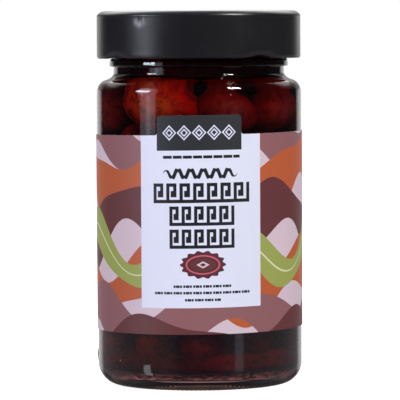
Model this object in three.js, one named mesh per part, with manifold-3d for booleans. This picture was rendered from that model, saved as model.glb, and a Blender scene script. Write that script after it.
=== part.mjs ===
// Jar of olives: a tall clear glass jar with a black twist-off metal lid and a paper wrap label,
// packed with dark brined olives.
//
// Millimetres, +Z up. The origin lies on the jar's axis, on the surface that the jar stands on. The
// label's front panel faces -Y, and an azimuth is counted from there towards +X.

import * as THREE from 'three';
import Module from 'manifold-3d';
import { mergeVertices } from 'three/addons/utils/BufferGeometryUtils.js';

const wasm = await Module();
wasm.setup();

const SEGMENTS = 48;

// The three numbers of the well-known sine hash, which gives repeatable scatter.
const SINE_HASH = { itemStep: 12.9898, drawStep: 78.233, stretch: 43758.5453 };

const GLASS = {
  bodyRadius: 35.5,
  wall: 2.5,
  pushUp: 3.2,
  floorHeight: 6.9,
  innerLow: 4,
  floorSwell: 1.3,
  ringInnerRadius: 26.8,
  ringOuterRadius: 28.4,
  heelHeight: 7.3,
  innerHeel: [6.5, 6],
  shoulderBottom: 101,
  shoulderHeight: 6,
  shoulderCurve: [4.3, 4.6],
  shoulderSweep: 62,
  neckFlare: [[32.15, 105.5], [31.1, 105.9], [30.28, 106.5], [29.74, 107.25], [29.6, 108]],
  neckRadius: 29.6,
  neckTop: 110,
  beadRadius: 31.1,
  beadTop: 112.4,
  beadRound: 0.5,
  beadLean: 0.25,
  finishRadius: 33,
  finishBottom: 116.2,
  mouthTop: 127.4,
  mouthBore: 28.2,
};

const SPOTTING_BAR = { azimuth: -88, height: 9.4, length: 2.6, width: 0.6, proud: 0.28, lean: 40 };

const LID = {
  radius: 35.35,
  bottom: 112.8,
  top: 129.2,
  sheet: 0.5,
  rimSlope: [[2.6, 0], [1.85, 0.11], [1.15, 0.45], [0.5, 0.98], [0.21, 1.2]],
  crease: 1.85,
  curlRadius: 0.9,
  rimRadius: 31.65,
  panelDrop: 0.65,
  buttonRadius: 14,
  buttonRise: 0.3,
  lugs: 4,
  firstLug: 37,
  lugHalfAngle: 13,
  lugPush: 1,
  lugLift: 0.6,
};

const LABEL = {
  clearance: 0.1,
  thickness: 0.2,
  bottom: 19.8,
  top: 87.2,
  gapWidth: 14,
  tabHalfWidth: 14.7,
  tabRise: 6.6,
  tabCorner: 1.1,
  tabFoot: 0.8,
  skewDegrees: 0.62,
};

const OLIVE = { length: 24, diameter: 16, unevenness: 0.16, tiers: 7, inEachTier: 8 };

const HEAP = {
  clearance: 0.6,
  bottom: 7.2,
  top: 105.2,
  coreRadius: 23.5,
  neckCoreRadius: 18.5,
  coreTop: 113,
  lowestTier: 14.6,
  highestTier: 97,
  crowding: 13,
  drift: 0.1,
  rounds: 160,
};

// Olives whose place shows through the shoulder. Each lies against the wall, and its pitch is the
// angle of the long axis above the horizontal.
const PLACED_OLIVES = [
  { azimuth: -27.5, height: 96.6, pitch: 170, length: 28.5, diameter: 18.4 },
  { azimuth: 21, height: 94.3, pitch: 162, length: 22.5, diameter: 15.5 },
  { azimuth: 61, height: 94.6, pitch: 12, length: 24, diameter: 16 },
];

const COLOURS = {
  glass: 0xdfe6e2,
  lid: 0x17181b,
  label: 0xe6e4f2,
  olives: 0x4a1a1c,
};

const UP = new THREE.Vector3(0, 0, 1);

const radians = THREE.MathUtils.degToRad;

/** Unit vector, square to the axis, at an azimuth in radians. */
const outwards = (azimuth) => new THREE.Vector3(Math.sin(azimuth), -Math.cos(azimuth), 0);

/** Points of an elliptical arc in a profile, angles in degrees from the +radius direction. */
function arc(radius, height, radiusStep, heightStep, from, to, pieces) {
  return Array.from({ length: pieces + 1 }, (_, i) => {
    const angle = radians(from + ((to - from) * i) / pieces);
    return [radius + radiusStep * Math.cos(angle), height + heightStep * Math.sin(angle)];
  });
}

/** Merges a geometry's shared vertices, drops collapsed triangles and turns its faces outwards. */
function weld(geometry) {
  geometry.deleteAttribute('normal');
  geometry.deleteAttribute('uv');
  const merged = mergeVertices(geometry, 1e-4);
  const triangles = [];
  for (let i = 0; i < merged.index.count; i += 3) {
    const [a, b, c] = [0, 1, 2].map((corner) => merged.index.getX(i + corner));
    if (a !== b && b !== c && c !== a) triangles.push([a, b, c]);
  }
  const corner = (index) => new THREE.Vector3().fromBufferAttribute(merged.attributes.position, index);
  const volume = triangles.reduce((sum, [a, b, c]) => sum + corner(a).dot(corner(b).cross(corner(c))), 0);
  merged.setIndex(triangles.map((t) => (volume < 0 ? t.toReversed() : t)).flat());
  return merged;
}

/** Turns a profile of [radius, height] points about the Z axis. */
function turned(profile, segments = SEGMENTS) {
  const points = profile.map(([radius, height]) => new THREE.Vector2(radius, height));
  return weld(new THREE.LatheGeometry(points, segments).rotateX(Math.PI / 2));
}

/** A geometry as a solid that can be joined and cut. */
function solidOf(geometry) {
  const vertProperties = new Float32Array(geometry.attributes.position.array);
  const triVerts = new Uint32Array(geometry.index.array);
  return new wasm.Manifold(new wasm.Mesh({ numProp: 3, vertProperties, triVerts }));
}

/** The geometry of a joined or cut solid. */
function geometryOf(solid) {
  const { vertProperties, triVerts } = solid.getMesh();
  const geometry = new THREE.BufferGeometry();
  geometry.setAttribute('position', new THREE.BufferAttribute(vertProperties, 3));
  geometry.setIndex(new THREE.BufferAttribute(triVerts, 1));
  return geometry;
}

/** A repeatable number from 0 to 1 for a pair of counts, from the far digits of a sine. */
function scatter(item, draw) {
  const wave = SINE_HASH.stretch * Math.sin(item * SINE_HASH.itemStep + draw * SINE_HASH.drawStep);
  return wave - Math.floor(wave);
}

/** Radius of the glass's inner wall at a height. */
function boreRadius(height) {
  const bore = GLASS.bodyRadius - GLASS.wall;
  const neckBore = GLASS.neckRadius - GLASS.wall;
  const above = height - (GLASS.shoulderBottom - 0.8);
  if (above <= 0) return bore;
  if (above >= GLASS.shoulderHeight) return neckBore;
  return neckBore + (bore - neckBore) * Math.sqrt(1 - (above / GLASS.shoulderHeight) ** 2);
}

/** The glass: pushed-up base, bearing ring, round heel, shoulder, neck, bead and finish. */
function glassGeometry() {
  const g = GLASS;
  const bore = g.bodyRadius - g.wall;
  const neckBore = g.neckRadius - g.wall;
  const heelWidth = g.bodyRadius - g.ringOuterRadius;
  const outside = [
    [0, g.pushUp],
    [g.ringInnerRadius * 0.5, g.pushUp * 0.92],
    [g.ringInnerRadius * 0.8, g.pushUp * 0.6],
    [g.ringInnerRadius * 0.95, g.pushUp * 0.17],
    [g.ringInnerRadius, 0],
    ...arc(g.ringOuterRadius, g.heelHeight, heelWidth, g.heelHeight, -90, 0, 5),
    ...arc(g.bodyRadius - g.shoulderCurve[0], g.shoulderBottom, ...g.shoulderCurve, 0, g.shoulderSweep, 5),
    ...g.neckFlare,
    [g.neckRadius, g.neckTop],
    ...arc(g.beadRadius - g.beadRound, g.neckTop + 0.55, g.beadRound, g.beadRound, -60, 0, 2),
    [g.beadRadius - g.beadLean, g.beadTop - 0.3],
    [g.beadRadius - 0.8, g.beadTop + 0.4],
    [g.finishRadius, g.finishBottom],
    [g.finishRadius, g.mouthTop - 1.8],
    [g.finishRadius - 0.8, g.mouthTop - 0.4],
    [g.finishRadius - 2.1, g.mouthTop],
  ];
  const inside = [
    [g.mouthBore + 1, g.mouthTop],
    [g.mouthBore, g.mouthTop - 0.8],
    [g.mouthBore, g.mouthTop - 3.4],
    [neckBore, g.beadTop],
    ...arc(neckBore, g.shoulderBottom - 0.8, bore - neckBore, g.shoulderHeight, 90, 0, 5),
    ...arc(bore - g.innerHeel[0], g.innerLow + g.innerHeel[1], ...g.innerHeel, 0, -90, 4),
    ...[0.75, 0.4].map((part) => [
      part * (bore - g.innerHeel[0]),
      g.innerLow + (g.floorHeight - g.innerLow) * (1 - part ** 2) ** g.floorSwell,
    ]),
    [0, g.floorHeight],
  ];
  const bar = new THREE.BoxGeometry(SPOTTING_BAR.width, 2, SPOTTING_BAR.length)
    .rotateY(radians(SPOTTING_BAR.lean))
    .translate(0, 1 - g.bodyRadius - SPOTTING_BAR.proud, SPOTTING_BAR.height)
    .rotateZ(radians(SPOTTING_BAR.azimuth));
  return geometryOf(solidOf(turned([...outside, ...inside])).add(solidOf(weld(bar))));
}

/** The lid: sunk panel with a safety button, raised rim, straight skirt and a curl with lugs. */
function lidGeometry() {
  const l = LID;
  const underside = l.top - l.panelDrop - l.sheet;
  const panel = l.top - l.panelDrop;
  const curlHeight = l.bottom + l.curlRadius;
  const profile = [
    [0, panel + l.buttonRise],
    [l.buttonRadius - 2, panel + l.buttonRise],
    [l.buttonRadius, panel],
    [l.rimRadius - 1.4, panel],
    [l.rimRadius, l.top],
    ...l.rimSlope.map(([inwards, below]) => [l.radius - inwards, l.top - below]),
    [l.radius, l.top - l.crease],
    [l.radius, curlHeight + 0.8],
    ...arc(l.radius - l.curlRadius, curlHeight, l.curlRadius, l.curlRadius, 0, -180, 5),
    [l.radius - l.sheet, curlHeight + 1],
    [l.radius - l.sheet, underside - 0.9],
    [l.radius - l.sheet - 0.9, underside],
    [0, underside],
  ];
  const geometry = turned(profile);
  const place = geometry.attributes.position;
  const pitch = 360 / l.lugs;
  for (let i = 0; i < place.count; i += 1) {
    const azimuth = Math.atan2(place.getX(i), -place.getY(i));
    const offset = THREE.MathUtils.euclideanModulo(
      THREE.MathUtils.radToDeg(azimuth) - l.firstLug + pitch / 2, pitch) - pitch / 2;
    const acrossLug = 1 - THREE.MathUtils.smoothstep(Math.abs(offset), 0, l.lugHalfAngle);
    const upTheSkirt = 1 - THREE.MathUtils.smoothstep(place.getZ(i), l.bottom, l.bottom + 2.2);
    const pressed = acrossLug * upTheSkirt;
    const shrink = 1 - (l.lugPush * pressed) / Math.hypot(place.getX(i), place.getY(i));
    if (pressed > 0) {
      place.setXYZ(i, place.getX(i) * shrink, place.getY(i) * shrink, place.getZ(i) + l.lugLift * pressed);
    }
  }
  return geometry;
}

/** What the die cuts away round the tab, seen from the front: round corners, hollow feet. */
function dieWaste(reach) {
  const { top, tabHalfWidth: half, tabRise, tabCorner: corner, tabFoot: foot } = LABEL;
  const tip = top + tabRise;
  const outline = new THREE.Shape();
  outline.moveTo(-reach, top);
  outline.lineTo(-half - foot, top);
  outline.absarc(-half - foot, top + foot, foot, -Math.PI / 2, 0, false);
  outline.lineTo(-half, tip - corner);
  outline.absarc(-half + corner, tip - corner, corner, Math.PI, Math.PI / 2, true);
  outline.lineTo(half - corner, tip);
  outline.absarc(half - corner, tip - corner, corner, Math.PI / 2, 0, true);
  outline.lineTo(half, top + foot);
  outline.absarc(half + foot, top + foot, foot, Math.PI, Math.PI * 1.5, false);
  outline.lineTo(reach, top);
  outline.lineTo(reach, tip + 5);
  outline.lineTo(-reach, tip + 5);
  return outline;
}

/** The label: a paper wrap, open at the back, with a tab above its top edge at the front. */
function labelGeometry() {
  const inner = GLASS.bodyRadius + LABEL.clearance;
  const outer = inner + LABEL.thickness;
  const tip = LABEL.top + LABEL.tabRise;
  const reach = outer + 4;
  const section = [[inner, LABEL.bottom], [outer, LABEL.bottom], [outer, tip], [inner, tip]];
  const wrap = turned([...section, section[0]]);
  const throughFront = { depth: reach, bevelEnabled: false, curveSegments: 3 };
  const front = new THREE.ExtrudeGeometry(dieWaste(reach), throughFront).rotateX(Math.PI / 2);
  const back = new THREE.BoxGeometry(2 * reach, reach, 2 * LABEL.tabRise)
    .translate(0, reach / 2 - 1, LABEL.top + LABEL.tabRise);
  const gap = new THREE.BoxGeometry(LABEL.gapWidth, reach, 2 * tip).translate(0, reach / 2, tip);
  const cut = (solid, cutter) => solid.subtract(solidOf(weld(cutter)));
  const geometry = geometryOf([front, back, gap].reduce(cut, solidOf(wrap)));
  const place = geometry.attributes.position;
  const slope = outer * Math.tan(radians(LABEL.skewDegrees));
  for (let i = 0; i < place.count; i += 1) {
    const azimuth = Math.atan2(place.getX(i), -place.getY(i));
    place.setZ(i, place.getZ(i) + slope * azimuth);
  }
  return geometry;
}

/** An olive before settling: its centre, the direction of its long axis and its two sizes. */
function olive(azimuth, height, pitch, length, diameter, placed) {
  const out = outwards(azimuth);
  const along = new THREE.Vector3(-out.y, out.x, 0);
  const axis = along.multiplyScalar(Math.cos(pitch)).add(new THREE.Vector3(0, 0, Math.sin(pitch)));
  const centre = out.multiplyScalar(boreRadius(height) - HEAP.clearance - diameter / 2).setZ(height);
  return { centre, axis, length, diameter, placed };
}

/** The three balls that stand for an olive while the heap settles: both ends and the middle. */
function ballsOf({ centre, axis, length, diameter }) {
  const tip = diameter ** 2 / length / 2;
  const reach = length / 2 - tip;
  return [-1, 0, 1].map((side) => ({
    place: centre.clone().addScaledVector(axis, side * reach),
    radius: side === 0 ? diameter / 2 : tip,
    side,
  }));
}

/** Moves an olive by a push on one of its balls, which also turns its axis. */
function push(item, ball, shift) {
  if (item.placed) return;
  const reach = item.length / 2 - item.diameter ** 2 / item.length / 2;
  item.centre.addScaledVector(shift, ball.side === 0 ? 1 : 0.6);
  item.axis.addScaledVector(shift, (0.4 * ball.side) / reach).normalize();
}

/** How far an olive reaches from its centre in a direction. */
function reachOf({ axis, length, diameter }, direction) {
  const lengthwise = axis.dot(direction) ** 2;
  return Math.sqrt((length / 2) ** 2 * lengthwise + (diameter / 2) ** 2 * (1 - lengthwise));
}

/** Draws an olive to the wall and keeps it inside the wall, the floor and the top of the heap. */
function contain(item) {
  if (item.placed) return;
  const { centre, diameter } = item;
  const out = new THREE.Vector3(centre.x, centre.y, 0).normalize();
  const upwards = reachOf(item, UP);
  const height = THREE.MathUtils.clamp(centre.z, HEAP.bottom + upwards, HEAP.top - upwards);
  const room = boreRadius(height + 0.3 * diameter) - HEAP.clearance - reachOf(item, out);
  const radius = Math.min(Math.hypot(centre.x, centre.y) + HEAP.drift, room);
  centre.copy(out.multiplyScalar(radius).setZ(height));
}

/** Tiers of uneven olives against the wall, pushed apart until they only touch. */
function settledOlives() {
  const heap = PLACED_OLIVES.map(({ azimuth, height, pitch, length, diameter }) =>
    olive(radians(azimuth), height, radians(pitch), length, diameter, true));
  const tierStep = (HEAP.highestTier - HEAP.lowestTier) / (OLIVE.tiers - 1);
  for (let tier = 0; tier < OLIVE.tiers; tier += 1) {
    for (let i = 0; i < OLIVE.inEachTier; i += 1) {
      const draw = (kind) => scatter(tier * OLIVE.inEachTier + i, kind);
      const azimuth = ((i + 0.5 * (tier % 2) + 0.3 * draw(1)) / OLIVE.inEachTier) * 2 * Math.PI;
      const height = HEAP.lowestTier + tierStep * tier + 3 * (draw(2) - 0.5);
      const size = 1 + OLIVE.unevenness * (draw(3) - 0.6);
      const slim = 1 + OLIVE.unevenness * (draw(4) - 0.5);
      const pitch = Math.PI * (draw(5) - 0.5);
      const item = olive(azimuth, height, pitch, OLIVE.length * size * slim, OLIVE.diameter * size, false);
      const nextTo = (other) => other.centre.distanceTo(item.centre) < HEAP.crowding;
      const crowded = heap.some((other) => other.placed && nextTo(other));
      if (!crowded) heap.push(item);
    }
  }
  for (let round = 0; round < HEAP.rounds; round += 1) {
    for (let i = 0; i < heap.length; i += 1) {
      for (let j = i + 1; j < heap.length; j += 1) {
        if (heap[i].centre.distanceTo(heap[j].centre) > 1.2 * OLIVE.length) continue;
        for (const a of ballsOf(heap[i])) {
          for (const b of ballsOf(heap[j])) {
            const away = a.place.clone().sub(b.place);
            const overlap = a.radius + b.radius - away.length();
            if (overlap <= 0) continue;
            away.setLength(overlap / 2);
            push(heap[i], a, away);
            push(heap[j], b, away.clone().negate());
          }
        }
      }
      contain(heap[i]);
    }
  }
  heap.forEach(contain);
  return heap;
}

/** The heap of olives: a plain core that fills the middle, with the outer olives fused on. */
function olivesGeometry() {
  const core = solidOf(turned([
    [0, HEAP.bottom + 1],
    [HEAP.coreRadius - 3, HEAP.bottom + 1],
    [HEAP.coreRadius, HEAP.bottom + 4],
    [HEAP.coreRadius, GLASS.shoulderBottom - 5],
    [HEAP.neckCoreRadius, GLASS.shoulderBottom],
    [HEAP.neckCoreRadius, HEAP.coreTop - 1.5],
    [HEAP.neckCoreRadius - 3, HEAP.coreTop],
    [0, HEAP.coreTop],
  ], 24));
  const heap = settledOlives().reduce((solid, { centre, axis, length, diameter }) => {
    const ball = new THREE.IcosahedronGeometry(0.5, 1)
      .scale(diameter, diameter, length)
      .applyQuaternion(new THREE.Quaternion().setFromUnitVectors(UP, axis))
      .translate(centre.x, centre.y, centre.z);
    return solid.add(solidOf(weld(ball)));
  }, core);
  return geometryOf(heap);
}

/** A named mesh of one sub-part with its own finish. */
function piece(name, geometry, finish) {
  const mesh = new THREE.Mesh(geometry, new THREE.MeshStandardMaterial(finish));
  mesh.name = name;
  return mesh;
}

const jarOfOlives = new THREE.Group();
jarOfOlives.add(
  piece('glass_jar', glassGeometry(), {
    color: COLOURS.glass, roughness: 0.05, metalness: 0, transparent: true, opacity: 0.35,
  }),
  piece('lid', lidGeometry(), { color: COLOURS.lid, roughness: 0.35, metalness: 0.1 }),
  piece('label', labelGeometry(), { color: COLOURS.label, roughness: 0.6, metalness: 0 }),
  piece('olives', olivesGeometry(), { color: COLOURS.olives, roughness: 0.4, metalness: 0 }),
);

export default jarOfOlives;
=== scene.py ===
"""A shut glass jar of dark olives in brine, with a black twist lid and a printed paper label.

Sizes are in millimetres in the classes and become metres as each mesh is made. An azimuth is an
angle about the jar's axis, counted from the front (-Y) towards +X.
"""

import logging
import math
from dataclasses import dataclass
from enum import Enum
from typing import Callable, Sequence, Union

import bpy
import numpy as np
from mathutils import Euler, Matrix, Vector
from mathutils.geometry import delaunay_2d_cdt


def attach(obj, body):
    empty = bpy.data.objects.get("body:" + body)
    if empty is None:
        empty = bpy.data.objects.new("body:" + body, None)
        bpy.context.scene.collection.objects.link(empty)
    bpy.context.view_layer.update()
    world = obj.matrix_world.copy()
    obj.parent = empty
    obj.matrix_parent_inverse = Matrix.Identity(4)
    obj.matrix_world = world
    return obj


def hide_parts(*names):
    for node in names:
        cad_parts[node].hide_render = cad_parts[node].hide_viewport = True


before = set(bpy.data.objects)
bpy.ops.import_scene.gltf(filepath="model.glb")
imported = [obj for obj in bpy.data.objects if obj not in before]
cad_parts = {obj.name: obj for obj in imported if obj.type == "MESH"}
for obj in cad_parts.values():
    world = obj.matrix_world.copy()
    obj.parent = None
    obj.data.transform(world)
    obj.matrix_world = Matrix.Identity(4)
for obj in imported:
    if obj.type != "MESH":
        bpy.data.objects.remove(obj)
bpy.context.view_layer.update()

logging.basicConfig(level=logging.INFO, format="%(message)s")
LOG = logging.getLogger("olive_jar")

MM = 0.001
BODY = "root"

# Numbers of the sine hash that gives the repeatable draws
ITEM_STEP, DRAW_STEP, STRETCH = 12.9898, 78.233, 43758.5453

Point = tuple[float, float]
Colour = tuple[float, float, float]
Warp = Callable[[np.ndarray, np.ndarray, np.ndarray], tuple[np.ndarray, np.ndarray, np.ndarray]]
Socket = bpy.types.NodeSocket
Value = Union[Socket, float, Sequence[float]]

WHITE = (1, 1, 1, 1)
SKYLIGHT: Colour = (0.92, 0.96, 1.1)


def arc(radius: float, height: float, radius_step: float, height_step: float,
        start: float, stop: float, pieces: int) -> list[Point]:
    """Points of an elliptical arc in a profile.

    Args:
        radius: Distance of the arc's centre from the axis.
        height: Height of the arc's centre.
        radius_step: Half width of the ellipse.
        height_step: Half height of the ellipse.
        start: First angle in degrees from the outward direction.
        stop: Last angle in degrees.
        pieces: Number of straight pieces.

    Returns:
        The points as (radius, height) pairs.
    """
    angles = np.radians(np.linspace(start, stop, pieces + 1))
    return [(radius + radius_step * math.cos(a), height + height_step * math.sin(a)) for a in angles]


def refined(profile: Sequence[Point], longest: float) -> list[Point]:
    """Cuts the long straight pieces of a profile.

    Args:
        profile: The (radius, height) pairs.
        longest: The greatest length that a piece keeps.

    Returns:
        The profile with more points on it.
    """
    points = [profile[0]]
    for (r0, z0), (r1, z1) in zip(profile, profile[1:]):
        pieces = max(1, math.ceil(math.hypot(r1 - r0, z1 - z0) / longest))
        points += [(r0 + (r1 - r0) * i / pieces, z0 + (z1 - z0) * i / pieces) for i in range(1, pieces + 1)]
    return points


def smoothstep(value: np.ndarray, low: float, high: float) -> np.ndarray:
    """A smooth rise from 0 at low to 1 at high."""
    t = np.clip((value - low) / (high - low), 0.0, 1.0)
    return t * t * (3 - 2 * t)


def mesh_object(name: str, points: np.ndarray, faces: Sequence[Sequence[int]],
                sharp_degrees: float = 40.0) -> bpy.types.Object:
    """Makes a smooth-shaded mesh object and links it into the scene.

    Args:
        name: Name of the object and its mesh.
        points: Vertices in millimetres.
        faces: Vertex indices of each face.
        sharp_degrees: Edges that bend more than this stay sharp.

    Returns:
        The new object, at the origin.
    """
    mesh = bpy.data.meshes.new(name)
    mesh.from_pydata((np.asarray(points) * MM).tolist(), [], [list(f) for f in faces])
    mesh.shade_smooth()
    mesh.set_sharp_from_angle(angle=math.radians(sharp_degrees))
    mesh.update()
    piece = bpy.data.objects.new(name, mesh)
    bpy.context.scene.collection.objects.link(piece)
    return piece


def put_attribute(mesh: bpy.types.Mesh, name: str, kind: str, values: Sequence | np.ndarray,
                  domain: str = "POINT", field: str = "value") -> None:
    """Stores an attribute on a mesh.

    Args:
        mesh: The mesh.
        name: The attribute's name.
        kind: Its Blender data type.
        values: One value, or one vector, for each element.
        domain: The kind of element that it belongs to.
        field: The property that holds the values.
    """
    rows = np.array(values).ravel()
    mesh.attributes.new(name, kind, domain).data.foreach_set(field, rows)


def turned(profile: Sequence[Point], segments: int,
           warp: Warp | None = None) -> tuple[np.ndarray, list[list[int]]]:
    """Turns a closed profile, which starts and ends on the axis, about Z.

    Args:
        profile: The (radius, height) pairs, up the outside and down the inside.
        segments: Number of steps round the axis.
        warp: Takes azimuths, radii and heights as arrays and returns them changed.

    Returns:
        Vertices in millimetres, and faces that point out of the material.
    """
    rows = np.array(profile[1:-1])
    azimuth = np.linspace(0, 2 * math.pi, segments, endpoint=False)[None, :].repeat(len(rows), 0)
    radius = rows[:, :1].repeat(segments, 1)
    height = rows[:, 1:].repeat(segments, 1)
    if warp:
        azimuth, radius, height = warp(azimuth, radius, height)
    points = np.stack([radius * np.sin(azimuth), -radius * np.cos(azimuth), height], -1).reshape(-1, 3)
    start = len(points)
    points = np.vstack([points, [[0, 0, profile[0][1]], [0, 0, profile[-1][1]]]])
    faces = []
    for row in range(len(rows) - 1):
        for i in range(segments):
            a, b = row * segments + i, row * segments + (i + 1) % segments
            faces.append([a, b, b + segments, a + segments])
    last = (len(rows) - 1) * segments
    for i in range(segments):
        j = (i + 1) % segments
        faces.append([start, j, i])
        faces.append([start + 1, last + i, last + j])
    if _volume(points, faces) < 0:
        faces = [f[::-1] for f in faces]
    return points, faces


def _volume(points: np.ndarray, faces: Sequence[Sequence[int]]) -> float:
    """Measures the volume that the faces enclose.

    Args:
        points: The vertices.
        faces: Vertex indices of each face, three or four.

    Returns:
        Six times the volume, below zero where the faces point inwards.
    """
    total = 0.0
    for size in (3, 4):
        group = np.array([f for f in faces if len(f) == size])
        for corner in range(1, size - 1) if len(group) else ():
            a, b, c = points[group[:, 0]], points[group[:, corner]], points[group[:, corner + 1]]
            total += float(np.einsum("ij,ij->i", a, np.cross(b, c)).sum())
    return total


def place(piece: bpy.types.Object, slot: str, *replaced: str,
          material: bpy.types.Material | None = None) -> None:
    """Rides a finished piece on the jar's body and logs it.

    Args:
        piece: The finished object.
        slot: Name of a material slot, which is not used.
        replaced: Names of the solids that it stands for.
        material: Its finish, unless it has one already.
    """
    if material:
        piece.data.materials.append(material)
    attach(piece, BODY)
    if replaced:
        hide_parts(*replaced)
    piece.data.calc_loop_triangles()
    LOG.info("%s: %d triangles", piece.name, len(piece.data.loop_triangles))


class Nodes:
    """Adds nodes and links to a node tree in few words."""

    def __init__(self, tree: bpy.types.NodeTree) -> None:
        """Keeps the tree that the nodes go into."""
        self.tree = tree

    def add(self, kind: str, inputs: dict | None = None, **settings: object) -> bpy.types.Node:
        """Adds a node.

        Args:
            kind: The node's Blender type.
            inputs: Values or output sockets by input name or index.
            settings: Properties of the node.

        Returns:
            The new node.
        """
        node = self.tree.nodes.new(kind)
        for key, value in settings.items():
            setattr(node, key, value)
        self.feed(node, inputs or {})
        return node

    def feed(self, node: bpy.types.Node, inputs: dict) -> None:
        """Sets or links the inputs of a node.

        Args:
            node: The node.
            inputs: Values or output sockets by input name or index.
        """
        for key, value in inputs.items():
            if isinstance(value, Socket):
                self.tree.links.new(value, node.inputs[key])
            else:
                node.inputs[key].default_value = value

    def math(self, operation: str, *values: Value) -> Socket:
        """Adds a shader or geometry Math node and returns its output."""
        return self.add("ShaderNodeMath", dict(enumerate(values)), operation=operation).outputs[0]

    def mix(self, factor: Value, first: Value, second: Value) -> Socket:
        """Mixes two colours and returns the result."""
        node = self.add("ShaderNodeMix", {0: factor, 6: first, 7: second}, data_type="RGBA")
        return node.outputs[2]

    def ramp(self, value: Value, low: float, high: float, start: float = 0.0, stop: float = 1.0) -> Socket:
        """Maps a value smoothly from one range to another."""
        inputs = {"Value": value, "From Min": low, "From Max": high, "To Min": start, "To Max": stop}
        return self.add("ShaderNodeMapRange", inputs, interpolation_type="SMOOTHSTEP").outputs[0]

    def scaled(self, vector: Value, factor: Value) -> Socket:
        """Scales a vector or a colour and returns the result."""
        return self.add("ShaderNodeVectorMath", {0: vector, "Scale": factor}, operation="SCALE").outputs[0]

    def hypot(self, first: Value, second: Value) -> Socket:
        """Returns the length of a pair of values."""
        squares = [self.math("MULTIPLY", value, value) for value in (first, second)]
        return self.math("SQRT", self.math("ADD", *squares))

    def bump(self, height: Value, strength: float, depth: float) -> Socket:
        """Turns a height into a normal, with the depth in millimetres."""
        inputs = {"Height": height, "Strength": strength, "Distance": depth * MM}
        return self.add("ShaderNodeBump", inputs).outputs[0]

    def attribute(self, name: str, output: str = "Fac") -> Socket:
        """Reads an attribute of the piece in a material."""
        return self.add("ShaderNodeAttribute", attribute_name=name).outputs[output]


def named_sockets(tree: bpy.types.NodeTree, inputs: Sequence[tuple], outputs: Sequence[tuple]) -> None:
    """Gives a node group its named sockets.

    Args:
        tree: The group's tree.
        inputs: Name, kind and, for a value, default of each input.
        outputs: Name and kind of each output.
    """
    for name, kind, *default in inputs:
        socket = tree.interface.new_socket(name, in_out="INPUT", socket_type="NodeSocket" + kind)
        if default:
            socket.default_value = default[0]
    for name, kind in outputs:
        tree.interface.new_socket(name, in_out="OUTPUT", socket_type="NodeSocket" + kind)


class Mottle:
    """The shared shader group for uneven tone and fine relief on Object coordinates."""

    NAME = "Mottle"

    @classmethod
    def group(cls) -> bpy.types.NodeTree:
        """Returns the group, made on first use.

        Returns:
            A shader node tree with inputs Patches per metre, Stretch, Offset and Contrast, and with
            outputs Tone and Height.
        """
        if cls.NAME in bpy.data.node_groups:
            return bpy.data.node_groups[cls.NAME]
        tree = bpy.data.node_groups.new(cls.NAME, "ShaderNodeTree")
        named_sockets(tree, [("Patches per metre", "Float", 200.0), ("Stretch", "Vector", (1.0, 1.0, 1.0)),
                             ("Offset", "Float", 0.0), ("Contrast", "Float", 1.0)],
                      [("Tone", "Float"), ("Height", "Float")])
        nodes = Nodes(tree)
        given = nodes.add("NodeGroupInput").outputs
        where = nodes.add("ShaderNodeTexCoord").outputs["Object"]
        scaled = nodes.add("ShaderNodeVectorMath", {0: where, 1: given["Stretch"]}, operation="MULTIPLY")
        moved = nodes.add("ShaderNodeVectorMath", {0: scaled.outputs[0], 1: given["Offset"]}, operation="ADD")
        noise = nodes.add("ShaderNodeTexNoise", {
            "Vector": moved.outputs[0], "Scale": given["Patches per metre"], "Detail": 5.0, "Roughness": 0.6})
        centred = nodes.math("SUBTRACT", noise.outputs[0], 0.5)
        tone = nodes.math("MULTIPLY_ADD", centred, given["Contrast"], 0.5)
        nodes.add("NodeGroupOutput", {"Tone": tone, "Height": noise.outputs[0]})
        return tree

    @classmethod
    def put(cls, nodes: Nodes, patches: float, stretch: Colour = (1, 1, 1), offset: Value = 0.0,
            contrast: float = 1.0) -> bpy.types.Node:
        """Places the group in a material.

        Args:
            nodes: The material's nodes.
            patches: Noise scale, in patches per metre.
            stretch: How much finer the pattern is along each axis.
            offset: Shift of the pattern, as a number or a socket.
            contrast: Strength of the tone about its middle.

        Returns:
            The group node.
        """
        inputs = {"Patches per metre": patches, "Stretch": stretch, "Offset": offset, "Contrast": contrast}
        return nodes.add("ShaderNodeGroup", inputs, node_tree=cls.group())


@dataclass(frozen=True)
class Finish:
    """What every finish shares: a name and a way to start a material."""

    name: str

    def start(self) -> tuple[bpy.types.Material, Nodes, bpy.types.Node, bpy.types.Node]:
        """Starts an empty material.

        Returns:
            The material, its nodes, its Principled BSDF and its output node.
        """
        material = bpy.data.materials.new(self.name)
        material.use_nodes = True
        material.node_tree.nodes.clear()
        nodes = Nodes(material.node_tree)
        shader = nodes.add("ShaderNodeBsdfPrincipled")
        output = nodes.add("ShaderNodeOutputMaterial", {"Surface": shader.outputs[0]})
        return material, nodes, shader, output

    @staticmethod
    def let_light_through(nodes: Nodes, shader: bpy.types.Node, output: bpy.types.Node, tint: Colour) -> None:
        """Lets the lamps reach what lies behind a clear surface.

        Args:
            nodes: The material's nodes.
            shader: The surface shader.
            output: The material's output node.
            tint: What a straight pass leaves of the light.
        """
        passing = nodes.add("ShaderNodeBsdfTransparent", {0: (*tint, 1)})
        shadow_ray = nodes.add("ShaderNodeLightPath").outputs["Is Shadow Ray"]
        mixed = nodes.add("ShaderNodeMixShader", {0: shadow_ray, 1: shader.outputs[0], 2: passing.outputs[0]})
        nodes.feed(output, {"Surface": mixed.outputs[0]})


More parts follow.
